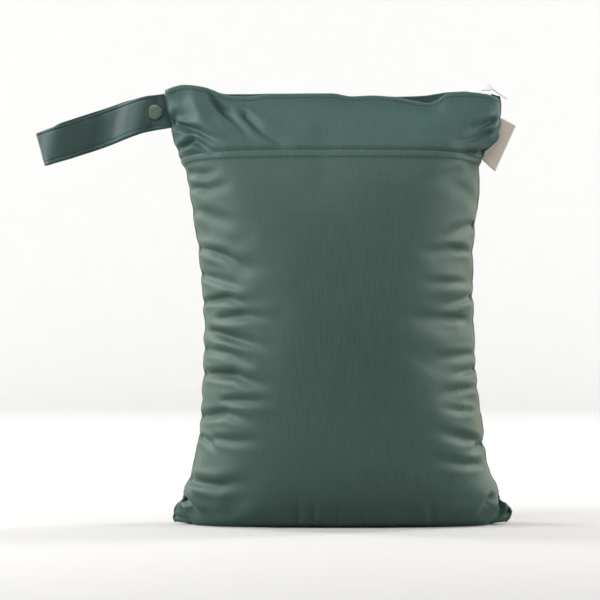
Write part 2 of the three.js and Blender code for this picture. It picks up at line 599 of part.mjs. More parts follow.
// The four corners of the strap's section: s along, y off the middle plane, and the direction of its
// thickness in the plane of s and y.
function strapOutline(s, y, thickAlong, thickAcross) {
  const at = strapPoint(s);
  const along = new THREE.Vector3(-Math.cos(at.slope), 0, -Math.sin(at.slope));
  const wide = new THREE.Vector3(-Math.sin(at.slope), 0, Math.cos(at.slope));
  const middle = new THREE.Vector3(at.x, y, at.z);
  const thick = along.multiplyScalar(thickAlong).add(new THREE.Vector3(0, thickAcross, 0));
  const [w, t] = [STRAP_WIDTH / 2, STRAP_THICK / 2];
  const nearSeam = 1 - THREE.MathUtils.smoothstep(s, 0, STRAP_WIDTH);
  return [[-1, -1], [1, -1], [1, 1], [-1, 1]].map(([i, j]) => {
    const corner = middle.clone().addScaledVector(wide, i * w).addScaledVector(thick, j * t);
    corner.x += seamShift(i) * nearSeam;
    return corner;
  });
}

function strapBand() {
  const layerSteps = 22;
  const foldSteps = 6;
  const foldRadius = layerOffset(STRAP_LENGTH);
  const straight = STRAP_LENGTH - foldRadius - STRAP_THICK / 2;
  const freeEnd = 2.5; // where the snapped-down end stops, from the side seam
  const outlines = [];
  for (let i = 0; i <= layerSteps; i++) {
    const s = (straight * i) / layerSteps;
    const sewn = THREE.MathUtils.smoothstep(s, -2, STUD_SETBACK - STUD_RING_DIAMETER / 2);
    outlines.push(strapOutline(s, layerOffset(s) * sewn, 0, 1));
  }
  for (let i = 1; i < foldSteps; i++) {
    const turn = (Math.PI * i) / foldSteps;
    const s = straight + foldRadius * Math.sin(turn);
    outlines.push(strapOutline(s, foldRadius * Math.cos(turn), Math.sin(turn), Math.cos(turn)));
  }
  for (let i = layerSteps; i >= 0; i--) {
    const s = freeEnd + ((straight - freeEnd) * i) / layerSteps;
    outlines.push(strapOutline(s, -layerOffset(s), 0, -1));
  }
  const flat = [[-1, -1], [1, -1], [1, 1], [-1, 1]].map(([i, j]) => new THREE.Vector2(i, j));
  return sweep(outlines, flat);
}

// The press stud joins the two layers: a cap with a post on each outer face, and a socket ring between
// them.
const studPlace = strapPoint(STUD_SETBACK);
const STUD_SEGMENTS = 20;
function lathedAcross(profile, direction) {
  const turned = new THREE.LatheGeometry(
    profile.map(([radius, y]) => new THREE.Vector2(radius, y)),
    STUD_SEGMENTS,
  );
  if (direction < 0) turned.rotateX(Math.PI);
  turned.translate(studPlace.x, 0, studPlace.z);
  return turned;
}

function studCap(direction) {
  const r = STUD_DIAMETER / 2;
  const under = STUD_GAP / 2 + STRAP_THICK + CLEARANCE;
  const top = under + STUD_DOME;
  const post = STUD_POST_DIAMETER / 2;
  return lathedAcross(
    [
      [0, CLEARANCE / 2],
      [post, CLEARANCE / 2],
      [post, under],
      [r, under],
      [r, under + STUD_DOME * 0.4],
      [r * 0.9, under + STUD_DOME * 0.78],
      [r * 0.6, top - STUD_DOME * 0.05],
      [0, top],
    ],
    direction,
  );
}

function studRing() {
  const [inner, outer] = [STUD_POST_DIAMETER / 2 + CLEARANCE, STUD_RING_DIAMETER / 2];
  const half = STUD_RING / 2;
  const lip = outer * 0.85;
  return lathedAcross(
    [
      [inner, -half],
      [lip, -half],
      [outer, -half / 2],
      [outer, half / 2],
      [lip, half],
      [inner, half],
      [inner, -half],
    ],
    1,
  );
}

const postHole = new THREE.CylinderGeometry(
  STUD_POST_DIAMETER / 2 + CLEARANCE,
  STUD_POST_DIAMETER / 2 + CLEARANCE,
  4 * (STUD_GAP + STRAP_THICK),
  12,
);
postHole.translate(studPlace.x, 0, studPlace.z);
addMesh("strap", toGeometry(toSolid(strapBand()).subtract(toSolid(postHole))), STRAP_FINISH);
addMesh("snap_cap_front", studCap(-1), STUD_FINISH);
addMesh("snap_cap_back", studCap(1), STUD_FINISH);
addMesh("snap_socket", studRing(), STUD_FINISH);

// Label: a folded tape sewn into the right side seam. Its root follows the seam, its fold is straight.
function labelTab() {
  const steps = 8;
  const [top, bottom] = [LABEL_TOP_RISE, LABEL_BOTTOM_RISE];
  const root = (rise) => new THREE.Vector3(rightSeam(rise) + 2 * CLEARANCE, 0, rise * STANDING_HEIGHT);
  const along = root(bottom).sub(root(top)).normalize();
  const out = new THREE.Vector3(-along.z, 0, along.x);
  const line = [top, bottom].map((rise) => root(rise).addScaledVector(out, LABEL_REACH));
  const faces = [-1, 1].map((face) =>
    Array.from({ length: steps + 1 }, (_, i) => {
      const from = root(THREE.MathUtils.lerp(top, bottom, i / steps));
      const to = line[0].clone().lerp(line[1], i / steps);
      return [0, 0.35, 0.7, 1].map((share) => {
        const point = from.clone().lerp(to, share);
        const thin = share === 1 ? 0.5 : 1;
        point.y = -1.6 * share ** 2 + (face * thin * LABEL_THICK) / 2;
        return point;
      });
    }),
  );
  return clothSheet(...faces);
}
addMesh("label", labelTab(), LABEL_FINISH);

export default bag;
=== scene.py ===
import math

import bmesh
import bpy
import numpy as np
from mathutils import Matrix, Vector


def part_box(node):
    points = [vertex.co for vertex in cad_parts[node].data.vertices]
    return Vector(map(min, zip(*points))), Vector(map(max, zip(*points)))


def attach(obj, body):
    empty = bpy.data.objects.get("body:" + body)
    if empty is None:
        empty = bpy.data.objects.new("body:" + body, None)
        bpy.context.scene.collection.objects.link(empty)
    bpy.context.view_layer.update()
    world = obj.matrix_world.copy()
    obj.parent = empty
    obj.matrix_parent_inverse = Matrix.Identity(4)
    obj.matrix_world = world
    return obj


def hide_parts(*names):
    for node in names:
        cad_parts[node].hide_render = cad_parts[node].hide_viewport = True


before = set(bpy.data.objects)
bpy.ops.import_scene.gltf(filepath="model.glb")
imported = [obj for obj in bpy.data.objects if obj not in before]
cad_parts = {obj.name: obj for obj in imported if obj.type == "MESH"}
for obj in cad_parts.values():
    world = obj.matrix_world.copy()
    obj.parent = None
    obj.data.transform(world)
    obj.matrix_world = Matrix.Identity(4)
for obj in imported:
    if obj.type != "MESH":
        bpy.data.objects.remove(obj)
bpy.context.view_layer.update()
MM = 0.001

# %% [markdown]
# The bag's form is a table of level sections from the floor up, as a sailmaker would list the stations of a sail.
# A smooth curve through each column gives the section at any height. The curve is a cubic whose slopes are held
# back so that it never swings past a row, so a pulled-in waist stays just as narrow as its row says.
# %% The bag's main sizes and sections
WIDTH = 280.0  # laid flat, seam to seam
HEIGHT = 352.0  # floor to zip
BELLY = 58.6  # half the depth at the belly
MOUTH = 6.2  # half the depth at the zip
SEAM_SHIFT = 5.0  # how far the bottom seam bows forward
#   rise,  left,  right, front, back, filled, square
SECTIONS = np.array([
    (0.000, 0.960, 0.968, 0.52, 0.52, 0.885, 2.3),
    (0.012, 0.974, 0.990, 0.64, 0.63, 0.900, 2.2),
    (0.030, 0.970, 0.998, 0.73, 0.71, 0.930, 2.2),
    (0.044, 0.952, 0.975, 0.78, 0.75, 0.960, 2.3),
    (0.058, 0.922, 0.942, 0.82, 0.79, 0.985, 2.4),
    (0.080, 0.908, 0.925, 0.86, 0.83, 1, 2.4),
    (0.120, 0.870, 0.876, 0.91, 0.88, 1, 2.4),
    (0.170, 0.838, 0.846, 0.95, 0.92, 1, 2.4),
    (0.240, 0.812, 0.824, 0.98, 0.96, 1, 2.3),
    (0.320, 0.796, 0.792, 1.00, 0.98, 1, 2.3),
    (0.420, 0.787, 0.774, 1.00, 0.98, 1, 2.3),
    (0.520, 0.792, 0.768, 0.98, 0.96, 1, 2.3),
    (0.620, 0.815, 0.768, 0.92, 0.91, 1, 2.3),
    (0.710, 0.848, 0.787, 0.83, 0.83, 1, 2.4),
    (0.780, 0.878, 0.808, 0.72, 0.72, 1, 2.5),
    (0.830, 0.904, 0.806, 0.60, 0.61, 1, 2.6),
    (0.860, 0.940, 0.848, 0.51, 0.52, 1, 2.8),
    (0.900, 0.972, 0.920, 0.36, 0.38, 1, 3.6),
    (0.940, 0.998, 0.936, 0.19, 0.21, 1, 7),
    (0.975, 1.014, 0.938, 0.06, 0.07, 1, 20),
    (1.000, 1.024, 0.928, 0.00, 0.00, 1, 40),
])


def smooth_curve(x, y):
    """A function through the points (x, y): a cubic on each span, each slope the harmonic mean of its neighbours."""
    x, y = np.asarray(x, float), np.asarray(y, float)
    span = np.diff(x)
    rate = np.diff(y) / span
    before, after = rate[:-1], rate[1:]
    same_way = before * after > 0
    middle = np.where(same_way, 2 * before * after / np.where(same_way, before + after, 1), 0)
    slope = np.concatenate([rate[:1], middle, rate[-1:]])

    def at(t):
        t = np.clip(t, x[0], x[-1])
        i = np.clip(np.searchsorted(x, t, side="right") - 1, 0, len(x) - 2)
        s = (t - x[i]) / span[i]
        p, q, rise = slope[i] * span[i], slope[i + 1] * span[i], y[i + 1] - y[i]
        return y[i] + s * p + s * s * (3 * rise - 2 * p - q) + s**3 * (p + q - 2 * rise)

    return at


def curves(table, *names):
    """A smooth curve for each named column of a table, all along its first column."""
    return {name: smooth_curve(table[:, 0], table[:, i + 1]) for i, name in enumerate(names)}


section = curves(SECTIONS, "left", "right", "front", "back", "filled", "square")
narrowest = WIDTH / 2 * (SECTIONS[:, 1] + SECTIONS[:, 2]).min()
print("sections", len(SECTIONS), "waist", round(narrowest, 1), "mm wide")


# %% The skin of the filled bag
def ease(edge0, edge1, x):
    """0 below edge0, 1 above edge1, and a smooth step 3t2 - 2t3 between them."""
    t = np.clip((x - edge0) / (edge1 - edge0), 0, 1)
    return t * t * (3 - 2 * t)


def bell(distance, width):
    """A bell curve: exp of minus (distance / width) squared."""
    return np.exp(-((distance / width) ** 2))


def xyz(x, y, z):
    """Points from three coordinates, each a number or an array that fits the others."""
    return np.stack(np.broadcast_arrays(x, y, z), -1)


def reach(side, rise):
    """How far the left or right seam is from the bag's middle."""
    return section[side](rise) * WIDTH / 2


def skin(side, across, rise):
    """A point of the bag: across is -1 to 1 between the seams, rise 0 to 1 up the wall. The depth is a superellipse,
    the square root of 1 - |across|^square, on top of a thin flat ear that fills out the corners."""
    left, right = reach("left", rise), reach("right", rise)
    depth = MOUTH + section[side](rise) * (BELLY - MOUTH)
    u = np.abs(across)
    bulge = np.sqrt(np.maximum(0, 1 - np.minimum(1, u / section["filled"](rise)) ** section["square"](rise)))
    low = 1 - ease(0.03, 0.07, rise)
    tip = np.sqrt(np.maximum(0, 1 - u ** (24 - 19 * low)))
    ear = np.minimum(2.2 + 5.3 * low, depth)
    y = 0.15 + (ear - 0.15) * tip + (depth - ear) * bulge
    sign = -1 if side == "front" else 1
    return xyz((right - left) / 2 + across * (right + left) / 2, sign * y, rise * HEIGHT)


def underside(side, across, inward):
    """A point of the flattened base: inward goes straight from the wall's foot, 0, to the bottom seam, 1."""
    foot = skin(side, across, np.zeros_like(across))
    seam = -SEAM_SHIFT * np.maximum(0, 1 - (across / 0.75) ** 2) ** 2
    return xyz(foot[..., 0], foot[..., 1] * (1 - inward) + seam * inward, 0 * seam)


def running_length(points, axis):
    """Length along a row of points, from 0: the running sum of the distances between neighbours."""
    steps = np.linalg.norm(np.diff(points, axis=axis), axis=-1)
    return np.insert(np.cumsum(steps, axis=axis), 0, 0, axis=axis)


def unit(vectors):
    """The same directions with a length of 1."""
    return vectors / (np.linalg.norm(vectors, axis=-1, keepdims=True) + 1e-12)


# %% [markdown]
# A bag is cut from flat rectangles, so the cloth down a side seam is as long as the cloth down the middle, while
# the way it has to go is shorter. That spare length is what gathers into the puckers along the sides. So the mesh
# is laid out the way the cloth is: its columns are evenly spaced round the belly and its rows evenly spaced down
# each column, over the wall and under the base.
# %% Lay the cloth over the skin
def lay_cloth(side, columns, rows):
    """A grid of points (rows, columns, 3) on one side of the bag, evenly spaced along the cloth both ways."""
    fine = np.linspace(-1, 1, 801)
    girth = running_length(skin(side, fine, np.full(801, 0.4)), 0)
    across = np.interp(np.linspace(0, girth[-1], columns), girth, fine)
    down, under = np.linspace(1, 0, 400), np.linspace(0, 1, 60)[1:]
    wall = skin(side, *np.meshgrid(across, down))
    base = underside(side, *np.meshgrid(across, under))
    length = running_length(np.concatenate([wall, base]), 0)
    place = np.concatenate([down, -under])
    wanted = np.linspace(0, 1, rows)
    spot = np.stack([np.interp(wanted * length[-1, j], length[:, j], place) for j in range(columns)], 1)
    across = np.broadcast_to(across, spot.shape)
    on_wall = skin(side, across, np.maximum(spot, 0))
    return np.where(spot[..., None] >= 0, on_wall, underside(side, across, np.maximum(-spot, 0))), spot


trial, _ = lay_cloth("front", 9, 60)
column_lengths = running_length(trial, 0)[-1]
CLOTH_LENGTH = column_lengths.max()
CLOTH_WIDTH = running_length(skin("front", np.linspace(-1, 1, 801), np.full(801, 0.4)), 0)[-1]
print("cloth down each column, mm", np.round(column_lengths), "round the front", round(CLOTH_WIDTH))

# %% [markdown]
# The puckers are simulated. The closed skin gets a little spare cloth, most of it near the seams, and air pressure
# inside. The mouth and the base are held still and the seams loosely, so the spare cloth can only buckle, and it
# does so in short folds that run in from the seams, as on the real bag. Only these folds are kept: the slow
# swelling is blurred out of the result, so the outline stays that of the table.
# %% Simulate the puckers
SIM_COLUMNS, SIM_ROWS, SIM_FRAMES = 73, 104, 26
LONGEST_MOVE = 6


def add_object(name, data):
    """A new object in the scene."""
    obj = bpy.data.objects.new(name, data)
    bpy.context.scene.collection.objects.link(obj)
    return obj


def new_object(name, points, faces):
    """A mesh object from points in millimetres and a list of faces."""
    mesh = bpy.data.meshes.new(name)
    mesh.from_pydata((np.asarray(points, float).reshape(-1, 3) * MM).tolist(), [], [tuple(f) for f in faces])
    mesh.update()
    mesh.shade_smooth()
    return add_object(name, mesh)


def numbers(*shape):
    """Vertex numbers of a grid of points, row by row."""
    return np.arange(np.prod(shape)).reshape(shape)


def grid_faces(index, flip=False):
    """Quads between the neighbouring entries of a 2-D array of vertex numbers."""
    corners = [index[:-1, :-1], index[1:, :-1], index[1:, 1:], index[:-1, 1:]]
    return np.stack(corners[::-1] if flip else corners, -1).reshape(-1, 4).tolist()


def weigh(obj, name, weights):
    """A vertex group from an array of weights, one call for each different weight."""
    group = obj.vertex_groups.new(name=name)
    weights = np.round(weights, 2)
    for weight in np.unique(weights):
        group.add(np.flatnonzero(weights == weight).tolist(), float(weight), "REPLACE")
    return group.name


def pucker():
    """Moves of the front and back grids, in millimetres, from a short cloth simulation of the closed bag."""
    (front, spot_front), (back, spot_back) = (lay_cloth(s, SIM_COLUMNS, SIM_ROWS) for s in ("front", "back"))
    seams = (front[:, [0, -1]] + back[:, [0, -1]]) / 2
    front[:, [0, -1]] = back[:, [0, -1]] = seams
    front[-1] = back[-1] = (front[-1] + back[-1]) / 2
    front_at = numbers(SIM_ROWS, SIM_COLUMNS)
    back_at = front_at.copy()
    own = np.zeros(back_at.shape, bool)
    own[:-1, 1:-1] = True
    back_at[own] = front_at.size + np.arange(own.sum())
    mouth = [tuple(dict.fromkeys(f)) for f in zip(front_at[0, :-1].tolist(), front_at[0, 1:].tolist(),
                                                 back_at[0, 1:].tolist(), back_at[0, :-1].tolist())]
    start = np.concatenate([front.reshape(-1, 3), back[own]])
    start[:, 1] += np.random.default_rng(5).normal(size=len(start)) * 0.25
    bag = new_object("puckering_cloth", start, grid_faces(front_at) + grid_faces(back_at, True) + mouth)
    near_seam = np.abs(np.linspace(-1, 1, SIM_COLUMNS))
    hold = np.tile(0.6 * np.clip((near_seam - 0.9) / 0.1, 0, 1), (SIM_ROWS, 1))
    hold[:6] = np.maximum(hold[:6], 0.5)
    hold[:2] = 1
    spare = np.tile(1 - near_seam**3, (SIM_ROWS, 1))
    cloth = bag.modifiers.new("cloth", "CLOTH")
    s = cloth.settings
    s.quality, s.mass = 6, 0.001
    s.tension_stiffness = s.compression_stiffness = 40
    s.shear_stiffness, s.bending_stiffness, s.bending_damping = 8, 0.006, 0.002
    s.tension_damping = s.compression_damping = s.shear_damping = 0.2
    s.use_pressure, s.uniform_pressure_force = True, 3
    s.pin_stiffness = 0.3
    held = [np.where(spot < 0.004, 1, hold) for spot in (spot_front, spot_back)]
    s.vertex_group_mass = weigh(bag, "held", np.concatenate([held[0].ravel(), held[1][own]]))
    s.vertex_group_shrink = weigh(bag, "spare", np.concatenate([spare.ravel(), spare[own]]))
    s.shrink_min, s.shrink_max = -0.08, -0.006
    s.effector_weights.gravity = 0
    cloth.point_cache.frame_start, cloth.point_cache.frame_end = 1, SIM_FRAMES
    for number in range(1, SIM_FRAMES + 1):
        bpy.context.scene.frame_set(number)
    moved = bag.evaluated_get(bpy.context.evaluated_depsgraph_get()).to_mesh()
    after = np.empty(len(start) * 3, np.float32)
    moved.vertices.foreach_get("co", after)
    move = after.reshape(-1, 3) / MM - start
    bpy.data.objects.remove(bag)
    bpy.context.scene.frame_set(1)
    return {"front": move[front_at], "back": move[back_at]}


def blur_matrix(count, width):
    """Each row averages its neighbours with the weights of a bell curve, width steps wide."""
    steps = np.arange(count)
    weights = np.exp(-(((steps[:, None] - steps) / width) ** 2) / 2)
    return weights / weights.sum(1, keepdims=True)


def folds_only(move):
    """The move less its own broad average, with every length held under LONGEST_MOVE."""
    rows, columns = move.shape[:2]
    broad = np.einsum("ij,jkc,lk->ilc", blur_matrix(rows, 6), move, blur_matrix(columns, 6))
    fine = np.einsum("ij,jkc,lk->ilc", blur_matrix(rows, 0.9), move - 0.8 * broad, blur_matrix(columns, 1.1))
    length = np.linalg.norm(fine, axis=-1, keepdims=True) + 1e-9
    return fine * (LONGEST_MOVE * np.tanh(length / LONGEST_MOVE) / length)


puckers = {side: folds_only(move) for side, move in pucker().items()}
for side, move in puckers.items():
    print(side, "puckers up to", round(float(np.abs(move).max()), 2), "mm")

# %% [markdown]
# The few folds that make this bag look like itself are placed one by one: the drapes that fan out from the top left
# corner, the short creases at the seams, and the folds of the bottom corners. Each is a bent line in the front
# view. Across the line its profile is a valley with a low shoulder on each side, as creased cloth has.
# %% Folds placed one by one
#   x0,     z0,    x1,    z1,    x2,    z2,   width, depth
FRONT_FOLDS = np.array([
    (-112, 354, -93.1, 337.1, -58, 301, 5.5, 5.2),
    (-84, 340, -63.7, 320, -32, 300, 5, 3.8),
    (-122.4, 352, -110.2, 325.7, -82, 300, 9, -2.6),
    (-137, 352, -134, 338, -129, 318, 11, 3.2),
    (-144, 326.5, -133.9, 330.6, -112, 332, 5, 3.2),
    (-142, 327, -115.1, 320, -86, 303, 3.8, 4.6),
    (-134, 305, -119.2, 312.8, -94, 297, 3.4, 5),
    (130, 332, 115.9, 324.1, 98, 314, 4, 3.8),
    (126, 321, 109.4, 313.5, 84, 307, 4, 3.4),
    (124, 305, 112.7, 301.2, 94, 302, 3.6, 4.2),
    (-126, 287, -112, 284, -92, 287, 4.4, 2.4),
    (-123, 275, -108, 272, -82, 277, 4.8, 2.8),
    (-122, 257, -104, 251, -72, 241, 5.6, 2.4),
    (-121, 226.9, -93, 218, -66, 203, 5, 4.2),
    (-120, 205.7, -95, 198.4, -70, 190, 4.6, 3),
    (-117, 180.4, -90.6, 184.5, -64, 176, 4, 3.6),
    (-106, 167.3, -75, 170.6, -40, 166, 5.2, 3),
    (-113, 160, -84, 151.8, -45, 142, 5.2, 4.4),
    (-117, 143.7, -90.6, 140.4, -66, 131, 4.6, 3.2),
    (-118, 123.3, -84, 122.5, -46, 108, 5.2, 4.6),
    (-101, 102, -73, 102.5, -46, 103, 4.6, 2.6),
    (-118, 87.3, -92, 92.2, -60, 82, 4.6, 3.6),
    (-108, 71.8, -84, 70, -54, 71, 4.6, 2.2),
    (-125, 76, -109, 70, -97, 60, 3, 4.4),
    (-129, 38.4, -98, 33.5, -62, 40, 5.8, 4.4),
    (-133, 27, -124, 18, -113, 5, 3.2, 4.2),
    (-125, 30, -116, 18, -106, 5, 3.2, -1.6),
    (-144, 7, -126.5, 4, -112, 3, 2.2, 2.6),
    (102, 289, 84, 282, 54, 272, 6.5, 1.4),
    (114, 247, 97, 239, 76, 228, 5, 3.2),
    (109, 222, 88, 224, 60, 219, 4.4, 2.8),
    (105, 197, 82, 197, 58, 196, 4.4, 2.2),
    (113, 187, 94, 182, 70, 175, 4.8, 3.4),
    (105, 167, 82, 168.5, 54, 170, 4.4, 2.2),
    (111, 140, 92, 137.5, 68, 136, 4.4, 3),
    (116, 128, 101, 125, 82, 122, 3.6, 3),
    (114, 112, 97, 110.5, 76, 109, 3.6, 2.6),
    (111, 93, 95, 94, 74, 98, 3.8, 2.6),
    (116, 68, 96, 73, 68, 80, 5, 3.2),
    (124, 67, 111, 63.5, 96, 60, 3.4, 3.4),
    (119, 50, 97, 51.5, 64, 57, 5, 2.8),
    (130, 24, 131, 13, 125, 0, 2.8, 4),
    (141, 19, 138, 10, 131, 0, 2.4, 3.4),
    (124, 28, 117, 16, 110, 4, 3.6, 2.8),
    (-34, 1, -35, 12, -37, 34, 3.2, 1.0),
    (-22, 1, -22, 10, -21, 26, 2.8, 0.9),
    (-3, 1, -3, 10, -1, 30, 3.2, 0.8),
    (16, 1, 17, 9, 19, 24, 2.8, 0.8),
    (74, 1, 73, 10, 70, 30, 3.4, 0.9),
])
BACK_FOLDS = np.array([
    (-120, 322, -96, 312, -70, 296, 6, 2.6),
    (-108, 262, -92, 254, -74, 250, 5, 2.2),
    (-110, 214, -92, 210, -72, 214, 5, 2.0),
    (-108, 150, -90, 144, -70, 138, 5, 2.2),
    (-114, 84, -98, 76, -80, 74, 5, 2.0),
    (122, 330, 100, 316, 78, 306, 6, 2.6),
    (104, 250, 90, 246, 70, 236, 5, 2.2),
    (104, 196, 88, 188, 72, 186, 5, 2.0),
    (106, 132, 90, 128, 70, 130, 5, 2.2),
    (114, 70, 98, 62, 80, 60, 5, 2.0),
])


def fold_depth(x, z, folds):
    """How far the folds press in, at points of the front view. With d the distance from a fold's bent line in
    widths, each adds depth (1 - 1.2 d2) exp(-0.8 d2): a valley between two lower ridges. It starts quickly, then
    widens and fades towards its last end."""
    total = np.zeros_like(x)
    for x0, z0, x1, z1, x2, z2, width, depth in folds:
        nearest, along = np.full(x.shape, np.inf), np.zeros_like(x)
        for start, (ax, az, bx, bz) in ((0, (x0, z0, x1, z1)), (0.5, (x1, z1, x2, z2))):
            dx, dz = bx - ax, bz - az
            t = np.clip(((x - ax) * dx + (z - az) * dz) / (dx * dx + dz * dz), 0, 1)
            distance = np.hypot(x - ax - t * dx, z - az - t * dz)
            along = np.where(distance < nearest, start + t / 2, along)
            nearest = np.minimum(distance, nearest)
        fade = ease(0, 0.2, along) * (1 - ease(0.3, 1, along))
        nearest = nearest / (width * (0.75 + 0.6 * along))
        total += depth * fade * (1 - 1.2 * nearest**2) * np.exp(-0.8 * nearest**2)
    return total


# %% [markdown]
# The mouth is not level. Its front edge sags a little in the middle and both ends rise, so a second table gives
# the height of the front edge, the zip and the back edge across the bag. The top of the cloth is slid up or down
# to meet it.
# %% The line of the mouth
#   across, front, zip, back
MOUTH_LINE = np.array([
    (-1, 1.006, 0.996, 1.003),
    (-0.88, 1.018, 1.009, 1.015),
    (-0.76, 1.013, 1.006, 1.011),
    (-0.62, 0.993, 0.993, 0.999),
    (-0.5, 0.991, 0.991, 0.999),
    (-0.36, 0.997, 0.994, 1.000),
    (0, 0.998, 0.995, 0.999),
    (0.12, 0.991, 0.991, 0.993),
    (0.24, 0.993, 0.991, 0.995),
    (0.38, 0.989, 0.989, 0.993),
    (0.5, 0.980, 0.981, 0.994),
    (0.57, 0.976, 0.977, 0.996),
    (0.62, 0.981, 0.982, 0.999),
    (0.69, 0.998, 0.995, 1.003),
    (0.8, 1.001, 1.000, 1.005),
    (0.92, 0.996, 1.0015, 1.003),
    (1, 0.987, 1.0015, 0.993),
])
mouth_line = curves(MOUTH_LINE, "front", "zip", "back")
MOUTH_LEFT, MOUTH_RIGHT = -reach("left", 1), reach("right", 1)


def mouth_across(x):
    """-1 at the left end of the mouth to 1 at its right end."""
    return (2 * x - MOUTH_LEFT - MOUTH_RIGHT) / (MOUTH_RIGHT - MOUTH_LEFT)


# %% The finished cloth
CLOTH_COLUMNS, CLOTH_ROWS = 181, 251
FOLD_GAIN = 1.12  # the folds come out a little shallower than their table says
EAR_LIFT = 1.8  # how far the bottom corners stand off the floor


def seam_notches(height, folds, sign):
    """How far each pucker draws the side seam in where it starts: a bell curve for every fold on that side."""
    own = folds[(np.sign(folds[:, 0]) == sign) & (np.abs(folds[:, 0]) > 90)]
    return sum(0.3 * f[7] * bell(height - f[1], f[6]) for f in own)


def finer(count_from, count_to):
    """A matrix that reads count_to places from count_from values, along smooth Catmull-Rom cubics."""
    t = np.linspace(0, count_from - 1, count_to)
    i = np.clip(np.floor(t).astype(int), 0, count_from - 2)
    f = t - i
    weights = [(-f + 2 * f**2 - f**3) / 2, (2 - 5 * f**2 + 3 * f**3) / 2, (f + 4 * f**2 - 3 * f**3) / 2,
               (f**3 - f**2) / 2]
    matrix = np.zeros((count_to, count_from))
    for k, weight in enumerate(weights):
        np.add.at(matrix, (np.arange(count_to), np.clip(i + k - 1, 0, count_from - 1)), weight)
    return matrix


def outward(points, side):
    """Unit normals of a grid, from the cross product of its two directions, turned away from the bag's middle."""
    down, across = np.gradient(points, axis=0), np.gradient(points, axis=1)
    normal = unit(np.cross(down, across))
    return normal if side == "front" else -normal


def finish_cloth(side):
    """The side's fine grid with its puckers, its placed folds and its top edge on the mouth line."""
    points, spot = lay_cloth(side, CLOTH_COLUMNS, CLOTH_ROWS)
    move = np.einsum("ij,jkc,lk->ilc", finer(SIM_ROWS, CLOTH_ROWS), puckers[side], finer(SIM_COLUMNS, CLOTH_COLUMNS))
    resting = ease(0.0, 0.03, spot)[..., None]
    points = points + move * resting
    from_seam = np.minimum(np.linspace(0, 1, CLOTH_COLUMNS), np.linspace(1, 0, CLOTH_COLUMNS)) * CLOTH_WIDTH
    from_mouth = np.linspace(0, CLOTH_LENGTH, CLOTH_ROWS)[:, None]
    folds = fold_depth(points[..., 0], points[..., 2], FRONT_FOLDS if side == "front" else BACK_FOLDS)
    folds *= FOLD_GAIN * ease(0, 7, from_seam) * resting[..., 0] * (0.3 + 0.7 * ease(2, 18, from_mouth))
    points -= outward(points, side) * folds[..., None]
    for sign, half in ((-1, slice(0, CLOTH_COLUMNS // 2)), (1, slice(CLOTH_COLUMNS // 2, None))):
        notches = seam_notches(points[:, half, 2], FRONT_FOLDS, sign)
        points[:, half, 0] -= sign * notches * (1 - ease(0, 20, from_seam[half]))
    top = ease(0.93, 1, spot)
    points[..., 2] += top * (mouth_line[side](mouth_across(points[..., 0])) - 1) * HEIGHT
    corner = ease(116, 134, np.abs(points[..., 0])) * (1 - ease(0, 14, points[..., 2]))
    points[..., 2] = np.maximum(points[..., 2], 0) + EAR_LIFT * corner
    return points


cloth = {side: finish_cloth(side) for side in ("front", "back")}
cloth_out = {side: outward(points, side) for side, points in cloth.items()}
print("cloth grid", cloth["front"].shape[:2], "spacing", round(WIDTH / (CLOTH_COLUMNS - 1), 2), "mm")

# %% [markdown]
# Everything sewn on the cloth has to follow its folds, so one function reads the finished cloth anywhere. It takes
# a place across and a place down the cloth, and how far to lift off along the normal.
# %% Read the cloth anywhere
def on_cloth(side, across, down, lift=0.0):
    """Points at shares across (0 left seam, 1 right) and down (0 mouth, 1 bottom seam), blended from the four
    nearest points of the grid and lifted along the blended normal."""
    rows, columns = CLOTH_ROWS - 1, CLOTH_COLUMNS - 1
    i, j = np.clip(np.asarray(down) * rows, 0, rows - 1e-6), np.clip(np.asarray(across) * columns, 0, columns - 1e-6)
    i, j = np.broadcast_arrays(i, j)
    i0, j0 = i.astype(int), j.astype(int)
    fi, fj = (i - i0)[..., None], (j - j0)[..., None]

    def blend(field):
        top = field[i0, j0] * (1 - fj) + field[i0, j0 + 1] * fj
        low = field[i0 + 1, j0] * (1 - fj) + field[i0 + 1, j0 + 1] * fj
        return top * (1 - fi) + low * fi

    return blend(cloth[side]) + blend(cloth_out[side]) * np.asarray(lift)[..., None]


def down_at_height(across, height):
    """How far down the front cloth a height is, found by interpolation in each of the nearest columns."""
    columns = np.asarray(across) * (CLOTH_COLUMNS - 1)
    shares = np.linspace(0, 1, CLOTH_ROWS)
    heights = cloth["front"][..., 2]
    found = [np.interp(-h, -np.minimum.accumulate(heights[:, int(round(c))]), shares)
             for c, h in zip(columns, np.broadcast_to(height, columns.shape))]
    return np.array(found)


# %% [markdown]
# Shader maths reads best as plain expressions. This small class wraps one output of a node, and its operators add
# the Math nodes. Any other node comes from one method, which sets the node's own settings first and then its
# inputs, given as numbers or as other wrapped outputs.
# %% Shader helper
class Value:
    """One node output that can be used in arithmetic."""

    def __init__(self, material, socket):
        self.material, self.socket = material, socket

    def maths(self, operation, a, b=None):
        inputs = {0: a} if b is None else {0: a, 1: b}
        return self.material.node("ShaderNodeMath", {"operation": operation}, inputs)

    def __add__(self, other):
        return self.maths("ADD", self, other)

    def __sub__(self, other):
        return self.maths("SUBTRACT", self, other)

    def __rsub__(self, other):
        return self.maths("SUBTRACT", other, self)

    def __mul__(self, other):
        return self.maths("MULTIPLY", self, other)

    __radd__, __rmul__ = __add__, __mul__

    def sine(self):
        return self.maths("SINE", self)

    def waves(self, period):
        """A sine that repeats every period."""
        return (self * (2 * math.pi / period)).sine()

    def step(self, low, high):
        """A smooth step from 0 at low to 1 at high."""
        return self.material.node("ShaderNodeMapRange", {"interpolation_type": "SMOOTHSTEP"},
                                  {0: self, 1: low, 2: high})


